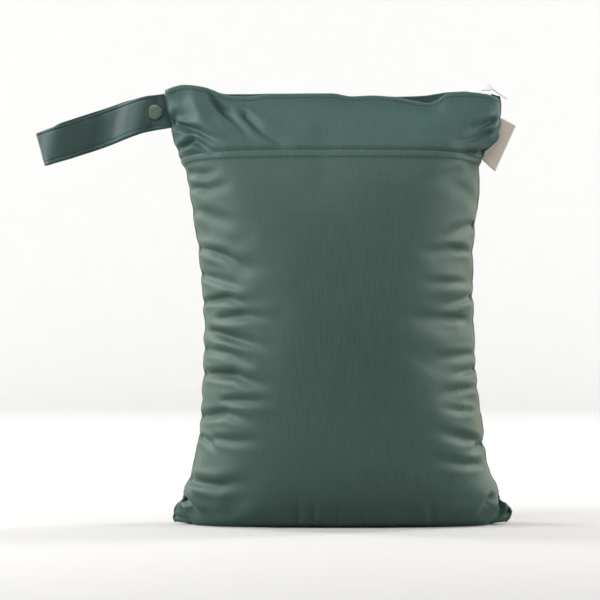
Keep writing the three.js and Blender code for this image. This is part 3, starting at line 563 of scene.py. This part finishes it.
class Finish:
    """A node material: constants go on the shader's own sockets, and what varies is linked in."""

    def __init__(self, name, **constants):
        self.material = bpy.data.materials.new(name)
        self.material.use_nodes = True
        self.tree = self.material.node_tree
        self.shader = self.tree.nodes["Principled BSDF"]
        for socket, value in constants.items():
            self.shader.inputs[socket.replace("_", " ")].default_value = value

    def node(self, kind, settings=None, inputs=None, output=0):
        made = self.tree.nodes.new(kind)
        for key, value in (settings or {}).items():
            setattr(made, key, value)
        for key, value in (inputs or {}).items():
            self.feed(made.inputs[key], value)
        return Value(self, made.outputs[output])

    def feed(self, socket, value):
        if isinstance(value, Value):
            self.tree.links.new(value.socket, socket)
        else:
            socket.default_value = value

    def link(self, name, value):
        self.feed(self.shader.inputs[name], value)

    def object_place(self):
        """The place in the object, in metres."""
        return self.node("ShaderNodeTexCoord", output="Object")

    def cloth_place(self):
        """The place on the flat cloth, in metres: the vector, then across and down on their own."""
        vector = self.node("ShaderNodeUVMap", {"uv_map": "cloth"})
        across = self.node("ShaderNodeSeparateXYZ", inputs={0: vector})
        return vector, across, Value(self, across.socket.node.outputs[1])

    def noise(self, vector, scale, detail=2.0, stretch=(1, 1, 1)):
        mapped = self.node("ShaderNodeMapping", inputs={"Vector": vector, "Scale": stretch})
        return self.node("ShaderNodeTexNoise", inputs={"Vector": mapped, "Scale": scale, "Detail": detail})

    def tint(self, amount, first, second):
        """Mixes the base colour, from the first where amount is 0 to the second where it is 1."""
        mixed = self.node("ShaderNodeMix", {"data_type": "RGBA"}, {0: amount, 6: first, 7: second}, output=2)
        self.link("Base Color", mixed)

    def relief(self, height, strength, distance):
        """Fine relief that only the light sees."""
        bump = self.node("ShaderNodeBump", inputs={"Height": height, "Strength": strength, "Distance": distance})
        self.link("Normal", bump)


def paint(*objects, finish):
    for obj in objects:
        obj.data.materials.clear()
        obj.data.materials.append(finish.material)


def rgb(red, green, blue):
    """An on-screen colour, 0 to 255, as the linear colour that a shader wants."""
    return tuple(((c / 255 + 0.055) / 1.055) ** 2.4 for c in (red, green, blue)) + (1,)


# %% [markdown]
# The cloth is a knit with a thin coating on its back. Its face has fine upright wales, a soft sheen that is
# strongest where the cloth turns away, and slight streaks because the yarns never lie quite evenly. The wales
# follow the cloth's own coordinates, so they bend with every fold.
# %% Finish of the cloth
WALE, LOOP = 0.0014, 0.0013  # metres across a wale and down a loop


def jersey(name, dark, light):
    """The cloth between a dark and a light tone: wales are a sine across, loops a sine down that sways with them."""
    finish = Finish(name, Sheen_Weight=0.2, Sheen_Roughness=0.25, Sheen_Tint=rgb(206, 172, 128),
                    Specular_IOR_Level=0.3)
    vector, across, down = finish.cloth_place()
    wale = across.waves(WALE) * 0.5 + 0.5
    loops = (down * (2 * math.pi / LOOP) + across.waves(2 * WALE) * 1.5).sine() * 0.5 + 0.5
    streaks = finish.noise(vector, 1.0, 3.0, (700, 45, 1))
    cloudy = finish.noise(vector, 16.0, 2.0)
    tone = wale * 0.4 + streaks * 0.6 + cloudy * 0.35 - 0.2
    finish.tint(tone, dark, light)
    finish.link("Roughness", 0.50 + streaks * 0.15)
    height = wale * 0.7 + loops * 0.2 + streaks * 0.5
    finish.relief(height, 0.35, 0.00018)
    return finish


bag_cloth = jersey("coated jersey", rgb(37, 60, 56), rgb(57, 84, 80))
# The pocket is the same cloth as the bag; its copy is a little warmer, which is painted warm light.
pocket_cloth = jersey("pocket jersey", rgb(38, 60, 54), rgb(59, 84, 76))
# The strap is the same cloth as the bag; its copy is darker, which is painted shade.
strap_cloth = jersey("strap jersey", rgb(37, 56, 54), rgb(54, 77, 74))
# The thread is darker than the cloth: partly its own green, partly painted shade of the stitch holes it sinks into.
thread = Finish("sewing thread", Roughness=0.7, Specular_IOR_Level=0.2)
thread.tint(thread.noise(thread.object_place(), 900.0), rgb(22, 37, 34), rgb(36, 53, 48))
print("wales every", WALE * 1000, "mm")


# %% Cloth pieces and their coordinates
def set_cloth_uv(obj, across, down):
    """Stores each vertex's place on the flat cloth, given in millimetres, as a UV map in metres."""
    layer = obj.data.uv_layers.new(name="cloth")
    corners = np.empty(len(obj.data.loops), np.int32)
    obj.data.loops.foreach_get("vertex_index", corners)
    pairs = np.stack([np.ravel(across), np.ravel(down)], -1)[corners] * MM
    layer.data.foreach_set("uv", pairs.astype(np.float32).ravel())


def thicken(obj, millimetres, offset=-1.0):
    """Gives a single skin its wall: on the inside of its faces, or half on each side with an offset of 0."""
    wall = obj.modifiers.new("wall", "SOLIDIFY")
    wall.thickness, wall.offset, wall.use_even_offset = millimetres * MM, offset, False


def round_edges(obj, millimetres):
    """Rounds the sharp edges, in three steps each."""
    rounding = obj.modifiers.new("rounded edges", "BEVEL")
    rounding.width, rounding.segments, rounding.limit_method = millimetres * MM, 3, "ANGLE"


def stands_for(obj, node, body="bag"):
    """Puts a piece in the place of its CAD node, which it hides, and on its body."""
    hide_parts(node)
    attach(obj, body)


def cloth_piece(name, side, across, down, lift, wall, finish):
    """A sheet read off the cloth on a grid of places, with its wall and its flat coordinates."""
    points = on_cloth(side, across, down, lift)
    obj = new_object(name, points, grid_faces(numbers(*down.shape), side == "back"))
    set_cloth_uv(obj, across * CLOTH_WIDTH, down * CLOTH_LENGTH)
    thicken(obj, wall)
    paint(obj, finish=finish)
    return obj


# %% [markdown]
# The pocket is one panel from its hem down the front and under the base. The hem is the cloth turned over once and
# stitched down, so its band stands a little proud, its top edge is a soft roll, and the stitch line sinks in and
# puckers slightly with each stitch.
# %% The pocket
HEM_HEIGHT, HEM_DROP, HEM_STITCH = 303.1, 7.0, 6.0
HEM_ROWS = 9.0  # the rows lie close together down to here
WALL = 0.9


def groove(distance, width, depth):
    """A valley like a bell curve."""
    return -depth * bell(distance, width)


def seam_roll(across):
    """Lift beside the side seams: a soft roll over the seam allowance, then a shallow dip."""
    distance = np.minimum(across, 1 - across) * CLOTH_WIDTH
    return 0.7 * bell(distance - 1.8, 1.4) + groove(distance - 4.4, 1.2, 0.6)


pocket_across = np.linspace(0, 1, CLOTH_COLUMNS)
hem_height = HEM_HEIGHT - HEM_DROP * np.abs(2 * pocket_across - 1) ** 4
hem_down = blur_matrix(CLOTH_COLUMNS, 3) @ down_at_height(pocket_across, hem_height)
pocket_length = (1 - hem_down) * CLOTH_LENGTH
hem_rows = np.tile(np.linspace(0, HEM_ROWS, 19)[:, None], CLOTH_COLUMNS)
below = np.concatenate([hem_rows, HEM_ROWS + np.linspace(0, 1, 178)[1:, None] * (pocket_length - HEM_ROWS)])
pocket_down = hem_down + below / CLOTH_LENGTH
pocket_across = np.broadcast_to(pocket_across, pocket_down.shape)
ripple = 0.12 * np.sin(pocket_across * CLOTH_WIDTH * 2 * np.pi / 5.1) * bell(below - HEM_STITCH, 3)
pocket_lift = (0.9 * (1 - ease(5.5, 8.6, below)) - 0.5 * bell(below, 0.7)
               + groove(below - HEM_STITCH - 0.2, 1.2, 0.45) + ripple + seam_roll(pocket_across))
pocket = cloth_piece("pocket_cloth", "front", pocket_across, pocket_down, pocket_lift, WALL, pocket_cloth)
stands_for(pocket, "pocket_panel")
print("pocket", len(pocket.data.polygons), "faces")

# %% [markdown]
# The front and back panels run from the mouth to the bottom seam. At the mouth the cloth is turned in over the zip
# tape and topstitched, so the edge is rolled and a stitch line lies about 4 mm below it. Behind the pocket the
# front panel lies a little deeper, so the two never touch.
# %% The front and back panels
EDGE_STITCH, POCKET_SPACE = 4.0, 1.5


def panel(side):
    """One wall of the bag, its turned edge at the mouth down to the bottom seam."""
    across, down = np.meshgrid(np.linspace(0, 1, CLOTH_COLUMNS), np.linspace(0, 1, CLOTH_ROWS))
    from_edge = down * CLOTH_LENGTH
    lift = 0.35 * (1 - ease(4.5, 7, from_edge)) - 0.6 * bell(from_edge, 0.8)
    lift = lift + groove(from_edge - EDGE_STITCH, 1.0, 0.5) + seam_roll(across)
    if side == "front":
        hem = np.broadcast_to(hem_down, down.shape)
        space = 0.6 + (POCKET_SPACE - 0.6) * ease(0, 12, np.minimum(across, 1 - across) * CLOTH_WIDTH)
        lift = lift - space * ease(-5, -0.5, (down - hem) * CLOTH_LENGTH)
    made = cloth_piece(f"{side}_panel_cloth", side, across, down, lift, WALL, bag_cloth)
    stands_for(made, f"{side}_panel")
    return made


front_panel, back_panel = panel("front"), panel("back")
print("panels", [len(made.data.polygons) for made in (front_panel, back_panel)], "faces")

# %% [markdown]
# Stitches are thread, so they are real shapes: short rounded bars that dip into the cloth at both ends. One bar is
# copied along a path by adding its points to every place on the path at once.
# %% Stitches
def tube_faces(rings, sides, flip=False):
    """Faces of a tube of equal rings of points: quads all round it, and a flat cap at each end."""
    index = numbers(rings, sides)
    caps = [index[0, ::-1], index[-1]] if flip else [index[0], index[-1, ::-1]]
    return grid_faces(np.concatenate([index, index[:, :1]], 1), flip) + [cap.tolist() for cap in caps]


def repeat_faces(faces, copies, size):
    """One shape's faces for each numbered copy of its size points."""
    return [tuple(corner + k * size for corner in face) for k in copies for face in faces]


def bar(rings=5, sides=6):
    """A unit stitch: along x from -0.5 to 0.5, a circle in y and z that swells and arches towards the middle."""
    t = np.linspace(-1, 1, rings)
    turn = np.arange(sides) * 2 * np.pi / sides
    radius = np.sqrt(np.maximum(0.12, 1 - t**4))
    arch = -1.1 * t[:, None] ** 2
    points = xyz(t[:, None] / 2, radius[:, None] * np.cos(turn), radius[:, None] * np.sin(turn) + arch)
    return points.reshape(-1, 3), tube_faces(rings, sides, True)


def sew(name, path, normal, pitch=2.8, length=1.6, radius=0.3):
    """Bars at equal steps of a path. Each is turned to the path's own direction and lies on its normal."""
    run = running_length(path, 0)
    count = int(run[-1] / pitch)
    places = (np.arange(count) + 0.5) * run[-1] / count

    def read(field, at):
        return np.stack([np.interp(at, run, field[:, k]) for k in range(3)], -1)

    centre, up = read(path, places), read(normal, places)
    along = unit(read(path, np.minimum(places + 1, run[-1])) - read(path, np.maximum(places - 1, 0)))
    side = unit(np.cross(up, along))
    shape, faces = bar()
    points = (centre[:, None] + along[:, None] * shape[:, :1] * length + side[:, None] * shape[:, 1:2] * radius
              + up[:, None] * shape[:, 2:] * radius)
    obj = new_object(name, points, repeat_faces(faces, range(count), len(shape)))
    paint(obj, finish=thread)
    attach(obj, "bag")
    print(name, count, "stitches")


line = np.linspace(0.012, 0.988, 400)
hem_line = np.interp(line, np.linspace(0, 1, CLOTH_COLUMNS), hem_down) + HEM_STITCH / CLOTH_LENGTH
edge_line = np.full_like(line, EDGE_STITCH / CLOTH_LENGTH)
for name, side, down, lift in (("hem_stitches", "front", hem_line, 0.45),
                               ("front_edge_stitches", "front", edge_line, 0.25),
                               ("back_edge_stitches", "back", edge_line, 0.15)):
    sew(name, on_cloth(side, line, down, lift), on_cloth(side, line, down, 1) - on_cloth(side, line, down))

# %% [markdown]
# The zip is a nylon coil one: two white woven tapes, and along their meeting edges a spiral of clear plastic whose
# turns lock into each other. The turns are one small bent bar repeated, first from one side and then from the
# other. The slider and the pull keep their CAD shapes, with their doubles merged and their edges rounded.
# %% Sweep a profile along a path
ZIP_SAG = 2.4


def zip_height(x):
    """Height of the zip. Over most of the mouth it has sunk a little between the two edges."""
    across = mouth_across(x)
    return mouth_line["zip"](across) * HEIGHT - ZIP_SAG * (1 - ease(0.7, 0.86, across))


def sweep(name, x, profile):
    """A profile (n, 2) of y and z carried along x, its z riding on the line of the zip. The profile may change
    from place to place when it is given as (len(x), n, 2)."""
    profile = np.broadcast_to(profile, (len(x),) + np.shape(profile)[-2:])
    points = xyz(x[:, None], profile[..., 0], profile[..., 1] + zip_height(x)[:, None])
    obj = new_object(name, points, tube_faces(*points.shape[:2]))
    set_cloth_uv(obj, points[..., 0], profile.sum(-1))
    return obj


tape_white = Finish("zip tape", Roughness=0.75, Sheen_Weight=0.2)
TAPE_RIB = 0.0009  # metres
_, tape_along, tape_over = tape_white.cloth_place()
ribs = tape_along.waves(TAPE_RIB) * tape_over.waves(TAPE_RIB)
tape_white.tint(ribs * 0.5 + 0.5, rgb(204, 203, 206), rgb(226, 225, 228))
tape_white.relief(ribs, 0.5, 0.0001)
ZIP_FROM, ZIP_TO = MOUTH_LEFT + 7, MOUTH_RIGHT - 7
zip_x = np.linspace(ZIP_FROM, ZIP_TO, 180)
for side, sign in (("front", -1), ("back", 1)):
    at_mouth = np.interp(zip_x, cloth[side][0, :, 0], np.abs(cloth[side][0, :, 1])) - WALL - 0.5
    outer, inner = at_mouth, np.full_like(at_mouth, 1.3)
    profile = np.stack([
        np.stack([inner, inner, outer - 0.4, outer, outer, outer - 0.7, outer - 0.7], -1) * sign,
        np.broadcast_to([-0.3, 0.35, 0.35, 0.0, -9.0, -9.0, -0.3], (len(zip_x), 7)),
    ], -1)
    if sign > 0:
        profile = profile[:, ::-1]
    tape = sweep(f"zip_tape_{side}_woven", zip_x, profile)
    paint(tape, finish=tape_white)
    stands_for(tape, f"zip_tape_{side}")


# %% The coil
def hoop(sides=6, steps=9):
    """One turn of the coil, a round bar bent to an open loop: y goes out and back, z rises over the tape."""
    t = np.linspace(0, np.pi, steps)
    centre = xyz(0.18 * np.cos(t), 1.75 * np.sin(t) - 0.35, 0.75 * np.cos(t))
    tangent = unit(np.gradient(centre, axis=0))
    first = unit(np.cross(tangent, (1, 0, 0)))
    second = np.cross(tangent, first)
    turn = np.arange(sides) * 2 * np.pi / sides
    ring = first[:, None] * np.cos(turn)[:, None] + second[:, None] * np.sin(turn)[:, None]
    return (centre[:, None] + 0.3 * ring).reshape(-1, 3), tube_faces(steps, sides)


COIL_PITCH, COIL_RISE = 1.5, 0.35
slider_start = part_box("zip_slider")[0][0] / MM
coil_x = np.arange(ZIP_FROM + 3, slider_start + 3, COIL_PITCH)
turns = len(coil_x)
one_turn, turn_faces = hoop()
rows = []
for offset, template in ((0, one_turn), (COIL_PITCH / 2, one_turn * (1, -1, 1))):
    place = xyz(coil_x + offset, 0, zip_height(coil_x) + COIL_RISE)
    rows.append((place[:, None] + template).reshape(-1, 3))
mirrored = [face[::-1] for face in turn_faces]
faces = (repeat_faces(turn_faces, range(turns), len(one_turn))
         + repeat_faces(mirrored, range(turns, 2 * turns), len(one_turn)))
coil = new_object("zip_coil_turns", np.concatenate(rows), faces)
nylon = Finish("nylon coil", Roughness=0.32, Specular_IOR_Level=0.5)
nylon.tint(nylon.noise(nylon.object_place(), 300.0), rgb(225, 225, 222), rgb(244, 244, 242))
paint(coil, finish=nylon)
stands_for(coil, "zip_coil")
print("coil turns", 2 * turns)


# %% The slider and the pull
def rounded_copy(node, name, width, body):
    """A CAD piece as a new mesh, doubles merged so that its edges can be bevelled."""
    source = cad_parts[node]
    mesh = source.data.copy()
    mesh.transform(source.matrix_world)
    work = bmesh.new()
    work.from_mesh(mesh)
    bmesh.ops.remove_doubles(work, verts=work.verts, dist=2e-5)
    bmesh.ops.dissolve_limit(work, angle_limit=math.radians(1), verts=work.verts, edges=work.edges)
    work.to_mesh(mesh)
    work.free()
    mesh.shade_smooth()
    obj = add_object(name, mesh)
    round_edges(obj, width)
    stands_for(obj, node, body)
    return obj


enamel = Finish("white enamel", Coat_Weight=0.4, Coat_Roughness=0.15, Specular_IOR_Level=0.5)
worn = enamel.noise(enamel.object_place(), 420.0, 4.0)
enamel.tint(worn.step(0.62, 0.75), rgb(206, 204, 211), rgb(180, 178, 184))
enamel.link("Roughness", 0.28 + worn * 0.2)
slider = rounded_copy("zip_slider", "slider_body", 0.18, "bag")
pull = rounded_copy("zip_pull", "slider_pull", 0.22, "pull")
paint(slider, pull, finish=enamel)

# %% [markdown]
# The strap is one band of cloth folded in half, with both ends at the side seam. It leaves the seam level and then
# droops, and it twists a little on the way, which is why one stretch looks lighter than the next. Its line is a
# short table of slopes, summed up step by step.
# %% The strap's line
STRAP_WIDTH, STRAP_LENGTH, STRAP_WALL = 27.4, 108.0, 1.5
STRAP_ROOT = np.array([-reach("left", 0.958) - 0.6, 0, 0.958 * HEIGHT])
#   along, slope, opening, sway, twist
STRAP_LINE = np.array([
    (0.00, 6.0, 3.0, 0.0, 0.0),
    (0.10, 10.0, 3.0, 0.0, 3.0),
    (0.19, 16.0, 3.8, -3.4, 4.0),
    (0.30, 18.0, 5.0, -0.8, 8.0),
    (0.42, 20.0, 6.2, 4.0, 6.0),
    (0.54, 20.0, 7.0, 5.0, -4.0),
    (0.72, 19.5, 7.0, -1.0, -10.0),
    (0.88, 18.0, 6.2, -4.6, -4.0),
    (0.95, 17.0, 5.4, -3.0, 2.0),
    (1.00, 16.0, 4.4, -0.5, 5.0),
])
strap_table = curves(STRAP_LINE, "slope", "opening", "sway", "twist")


def strap_at(column, s):
    """A column of the strap's table at distances s from the seam."""
    return strap_table[column](s / STRAP_LENGTH)


strap_steps = np.linspace(0, STRAP_LENGTH, 400)
strap_slope = np.radians(strap_at("slope", strap_steps))
strap_step = np.gradient(strap_steps)
strap_x = STRAP_ROOT[0] - np.cumsum(np.cos(strap_slope) * strap_step) + strap_step[0]
strap_z = STRAP_ROOT[2] - np.cumsum(np.sin(strap_slope) * strap_step) + strap_step[0] * math.sin(strap_slope[0])


def strap_frame(s):
    """The place on the strap's line and the direction up across its width, at distances s from the seam."""
    slope = np.radians(strap_at("slope", s))
    place = xyz(np.interp(s, strap_steps, strap_x), 0, np.interp(s, strap_steps, strap_z))
    return place, xyz(-np.sin(slope), 0, np.cos(slope))


# %% The strap
ROOT_DEPTH = 8.0  # how far the ends run on inside the side seam
LEAN = 7.0  # how much nearer the seam the strap's waves are at its upper edge
STRAP_STITCH = 2.2  # from the strap's edges to their stitches


def half_gap(s):
    """Half the distance between the middles of the two layers."""
    return (strap_at("opening", s) + STRAP_WALL) / 2


def strap_path(count):
    """Down the front layer, round the fold and back along the rear layer: distance s and offset y. The layers are
    pinched to a third of their gap where they enter the seam."""
    radius = half_gap(STRAP_LENGTH)
    straight = STRAP_LENGTH - radius - STRAP_WALL / 2
    out = np.linspace(-ROOT_DEPTH, straight, count)
    gap = half_gap(out) * (0.35 + 0.65 * ease(-2, 5, out))
    turn = np.linspace(0, np.pi, 15)[1:-1]
    s = np.concatenate([out, straight + radius * np.sin(turn), out[::-1]])
    return s, np.concatenate([-gap, -radius * np.cos(turn), gap[::-1]])


def strap_surface(s, y, w):
    """Points of the strap's middle surface: w from -1 to 1 across its width, tilted by the twist at s."""
    place, up = strap_frame(s)
    twist = np.radians(strap_at("twist", s))
    sway = strap_at("sway", s + LEAN * w)
    rear = (y > 0) * ease(12, 34, s) * (1 - ease(84, 100, s))
    width = w * STRAP_WIDTH / 2 + rear * (0.8 + 1.2 * w)
    from_edge = (1 - np.abs(w)) * STRAP_WIDTH / 2
    hem = 0.45 * bell(from_edge - 0.9, 0.8) + groove(from_edge - STRAP_STITCH, 0.7, 0.4)
    points = place + up * (width * np.cos(twist))[..., None]
    points[..., 1] += y + width * np.sin(twist) + sway + np.clip(y / 2, -1, 1) * hem * ease(4, 12, s)
    near_seam = 1 - ease(0, STRAP_WIDTH, s)
    seam_x = -reach("left", points[..., 2] / HEIGHT)
    points[..., 0] += (seam_x - STRAP_ROOT[0] + 0.6) * near_seam
    return points


strap_s, strap_y = strap_path(90)
strap_w = np.sin(np.linspace(-np.pi / 2, np.pi / 2, 33))
S, W = np.meshgrid(strap_s, strap_w, indexing="ij")
Y = np.broadcast_to(strap_y[:, None], S.shape)
strap_points = strap_surface(S, Y, W)
strap = new_object("strap_cloth", strap_points, grid_faces(numbers(*S.shape), True))
run = running_length(strap_points[:, 16], 0)
set_cloth_uv(strap, W * STRAP_WIDTH / 2, np.broadcast_to(run[:, None], S.shape))
thicken(strap, STRAP_WALL, 0.0)
round_edges(strap, 0.5)
paint(strap, finish=strap_cloth)
stands_for(strap, "strap")
front_run = np.linspace(4, STRAP_LENGTH - 6, 200)
for layer, sign in (("front", -1), ("back", 1)):
    for edge, name in ((-1, "lower"), (1, "upper")):
        w = np.full_like(front_run, edge * (1 - 2 * STRAP_STITCH / STRAP_WIDTH))
        path = strap_surface(front_run, sign * (half_gap(front_run) + STRAP_WALL / 2 + 0.05), w)
        sew(f"strap_stitches_{layer}_{name}", path, np.tile((0.0, sign, 0.0), (200, 1)))

# %% [markdown]
# The press stud is moulded resin. Its cap is a shallow dome with a rounded rim and a slight dimple in the middle,
# where the post was pressed flat. It is turned on a lathe, so it is one profile carried round a circle.
# %% The press stud
STUD_AT = 9.5  # from the side seam
#   radius, rise over the cloth
STUD_DOME = [(1.2, 0), (5.6, 0), (6.05, 0.25), (6.2, 0.6), (6.1, 1.0), (5.7, 1.4), (5.0, 1.72), (4.0, 1.95),
             (2.8, 2.08), (1.6, 2.06), (0.9, 1.9), (0.15, 1.85)]


def lathe(name, profile, centre, direction, sides=64):
    """Turns a profile (n, 2) of radius and height about the Y axis. direction is -1 to face the front."""
    turn = np.arange(sides) * 2 * np.pi / sides
    radius, height = np.array(profile, float).T
    points = xyz(radius[:, None] * np.cos(turn), direction * height[:, None], radius[:, None] * np.sin(turn))
    return new_object(name, points + centre, tube_faces(len(radius), sides, direction > 0))


stud_place = strap_frame(np.array([STUD_AT]))[0][0]
under = strap_at("opening", STUD_AT) / 2 + STRAP_WALL + 0.1
cap_profile = [(1.2, 0.3)] + [(radius, under + rise) for radius, rise in STUD_DOME]
resin = Finish("resin", Specular_IOR_Level=0.55, Coat_Weight=0.15, Coat_Roughness=0.25)
resin_at = resin.object_place()
resin.tint(resin.noise(resin_at, 240.0), rgb(62, 84, 71), rgb(72, 94, 80))
resin.link("Roughness", 0.36 + resin.noise(resin_at, 700.0) * 0.12)
for direction, side in ((-1, "front"), (1, "back")):
    cap = lathe(f"stud_cap_{side}", cap_profile, stud_place, direction)
    paint(cap, finish=resin)
    stands_for(cap, f"snap_cap_{side}")
ring_profile = [(1.75, -1.1), (4.2, -1.1), (4.7, -0.7), (4.7, 0.7), (4.2, 1.1), (1.75, 1.1)]
socket = lathe("stud_socket", ring_profile, stud_place, 1)
paint(socket, finish=resin)
stands_for(socket, "snap_socket")
print("stud caps", round(under, 2), "mm from the middle")

# %% [markdown]
# The label is a folded strip of unbleached cotton tape caught in the side seam. It is left bare. Folded tape never
# lies quite flat, so its two layers part a little and the fold is round.
# %% The label
LABEL_TOP, LABEL_BOTTOM, LABEL_REACH = 0.944, 0.848, 15.2
label_root = np.array([(reach("right", r) - 1, 0, r * HEIGHT) for r in (LABEL_TOP, LABEL_BOTTOM)])
label_down = unit(label_root[1] - label_root[0])
label_out = np.array([-label_down[2], 0, label_down[0]])
LABEL_HEIGHT = np.linalg.norm(label_root[1] - label_root[0])
turn = np.linspace(0, np.pi, 11)[1:-1]
flat_out = np.linspace(-2, LABEL_REACH - 0.8, 24)
fold_x = np.concatenate([flat_out, flat_out[-1] + 0.8 * np.sin(turn), flat_out[::-1]])
fold_y = np.concatenate([np.full(24, -0.5), -0.5 * np.cos(turn), np.full(24, 0.5)])
part = 0.5 * np.sin(np.clip(fold_x / LABEL_REACH, 0, 1) * np.pi) * np.sign(fold_y)
T, R = np.meshgrid(np.linspace(0, 1, 40), fold_x)
out = (R / LABEL_REACH).clip(0)
bow = -2.2 * out**2 + 0.7 * np.sin(T * np.pi)
droop = (1 + 3.9 * T) * out
label_points = label_root[0] + (T * LABEL_HEIGHT + droop)[..., None] * label_down + R[..., None] * label_out
label_points[..., 1] += (fold_y + part)[:, None] + bow
label = new_object("label_tape", label_points, grid_faces(numbers(*T.shape)))
set_cloth_uv(label, R, T * LABEL_HEIGHT)
thicken(label, 0.45, 0.0)
cotton = Finish("unbleached tape", Roughness=0.85, Sheen_Weight=0.15)
cotton_at, cotton_across, cotton_down = cotton.cloth_place()
twill = (cotton_across + cotton_down * 0.7).waves(TAPE_RIB) * 0.5 + 0.5
fibres = cotton.noise(cotton_at, 1.0, 3.0, (900, 300, 1))
cotton.tint(twill * 0.4 + fibres * 0.6, rgb(184, 174, 162), rgb(206, 197, 186))
cotton.relief(twill + fibres, 0.5, 0.00012)
paint(label, finish=cotton)
stands_for(label, "label")
print("label", round(LABEL_HEIGHT, 1), "mm high")

# %% [markdown]
# The bag stands in a plain pale studio: a round paper floor that sweeps up into a wall on every side. Two soft
# lights at the sides graze the cloth, which is what brightens its flanks and leaves the middle quieter, and a soft
# light above keeps the top readable. Two more light the wall behind, and two narrow warm ones behind the bag give
# its edges a thin tan rim.
# %% Floor and backdrop
paper = Finish("paper backdrop", Roughness=0.9)
paper.tint(paper.noise(paper.object_place(), 30.0), rgb(165, 165, 164), rgb(168, 168, 167))
turn = np.linspace(0, np.pi / 2, 16)
paper_reach = np.concatenate([[5], 2300 + 900 * np.sin(turn), [3200]])
height = np.concatenate([[0], 900 - 900 * np.cos(turn), [3600]])
around = np.linspace(0, 2 * np.pi, 97)
floor_points = xyz(paper_reach[:, None] * np.cos(around), paper_reach[:, None] * np.sin(around), height[:, None])
floor = new_object("paper_floor", floor_points, grid_faces(numbers(*floor_points.shape[:2]), True))
paint(floor, finish=paper)


# %% Lights and camera
def soft_light(name, place, aim, size, power, colour=(1, 1, 1)):
    """A rectangular light, turned to face the point that it is aimed at."""
    light = bpy.data.lights.new(name, "AREA")
    light.color = colour
    light.shape, light.size, light.size_y, light.energy = "RECTANGLE", size[0], size[1], power
    obj = add_object(name, light)
    towards = np.array(aim) - np.array(place)
    obj.location = place
    obj.rotation_euler = (math.acos(-towards[2] / np.linalg.norm(towards)), 0,
                          math.atan2(towards[1], towards[0]) - math.pi / 2)


soft_light("left_softbox", (-1.3, -0.45, 0.8), (0, 0, 0.2), (0.5, 0.9), 32)
soft_light("right_softbox", (1.3, -0.4, 0.7), (0, 0, 0.2), (0.5, 0.9), 18)
soft_light("top_softbox", (-0.3, -0.8, 1.5), (0, 0, 0.25), (0.9, 0.7), 10)
soft_light("left_backdrop_light", (-1.7, 0.8, 1.7), (0, 3.0, 0.6), (1.2, 1.2), 108)
soft_light("right_backdrop_light", (1.7, 0.8, 1.7), (0, 3.0, 0.6), (1.2, 1.2), 105)
soft_light("left_rim_light", (-0.9, 0.5, 0.35), (0, 0, 0.18), (0.25, 0.7), 2.2, (1, 0.68, 0.4))
soft_light("right_rim_light", (0.9, 0.5, 0.3), (0, 0, 0.18), (0.25, 0.7), 3.2, (1, 0.68, 0.4))
world = bpy.data.worlds.new("studio")
bpy.context.scene.world = world
world.use_nodes = True
background = world.node_tree.nodes["Background"].inputs
background["Color"].default_value = (0.95, 0.96, 1, 1)
background["Strength"].default_value = 0.12

CAMERA_DISTANCE, PIXEL = 2.1, 0.8163 * MM
lens = bpy.data.cameras.new("camera")
lens.lens = 36 * CAMERA_DISTANCE / (600 * PIXEL)
camera = add_object("camera", lens)
camera.location = ((300 - 340) * PIXEL, -CAMERA_DISTANCE, (524 - 300) * PIXEL)
camera.rotation_euler = (math.pi / 2, 0, 0)
bpy.context.scene.camera = camera
bpy.context.scene.view_settings.view_transform = "Standard"
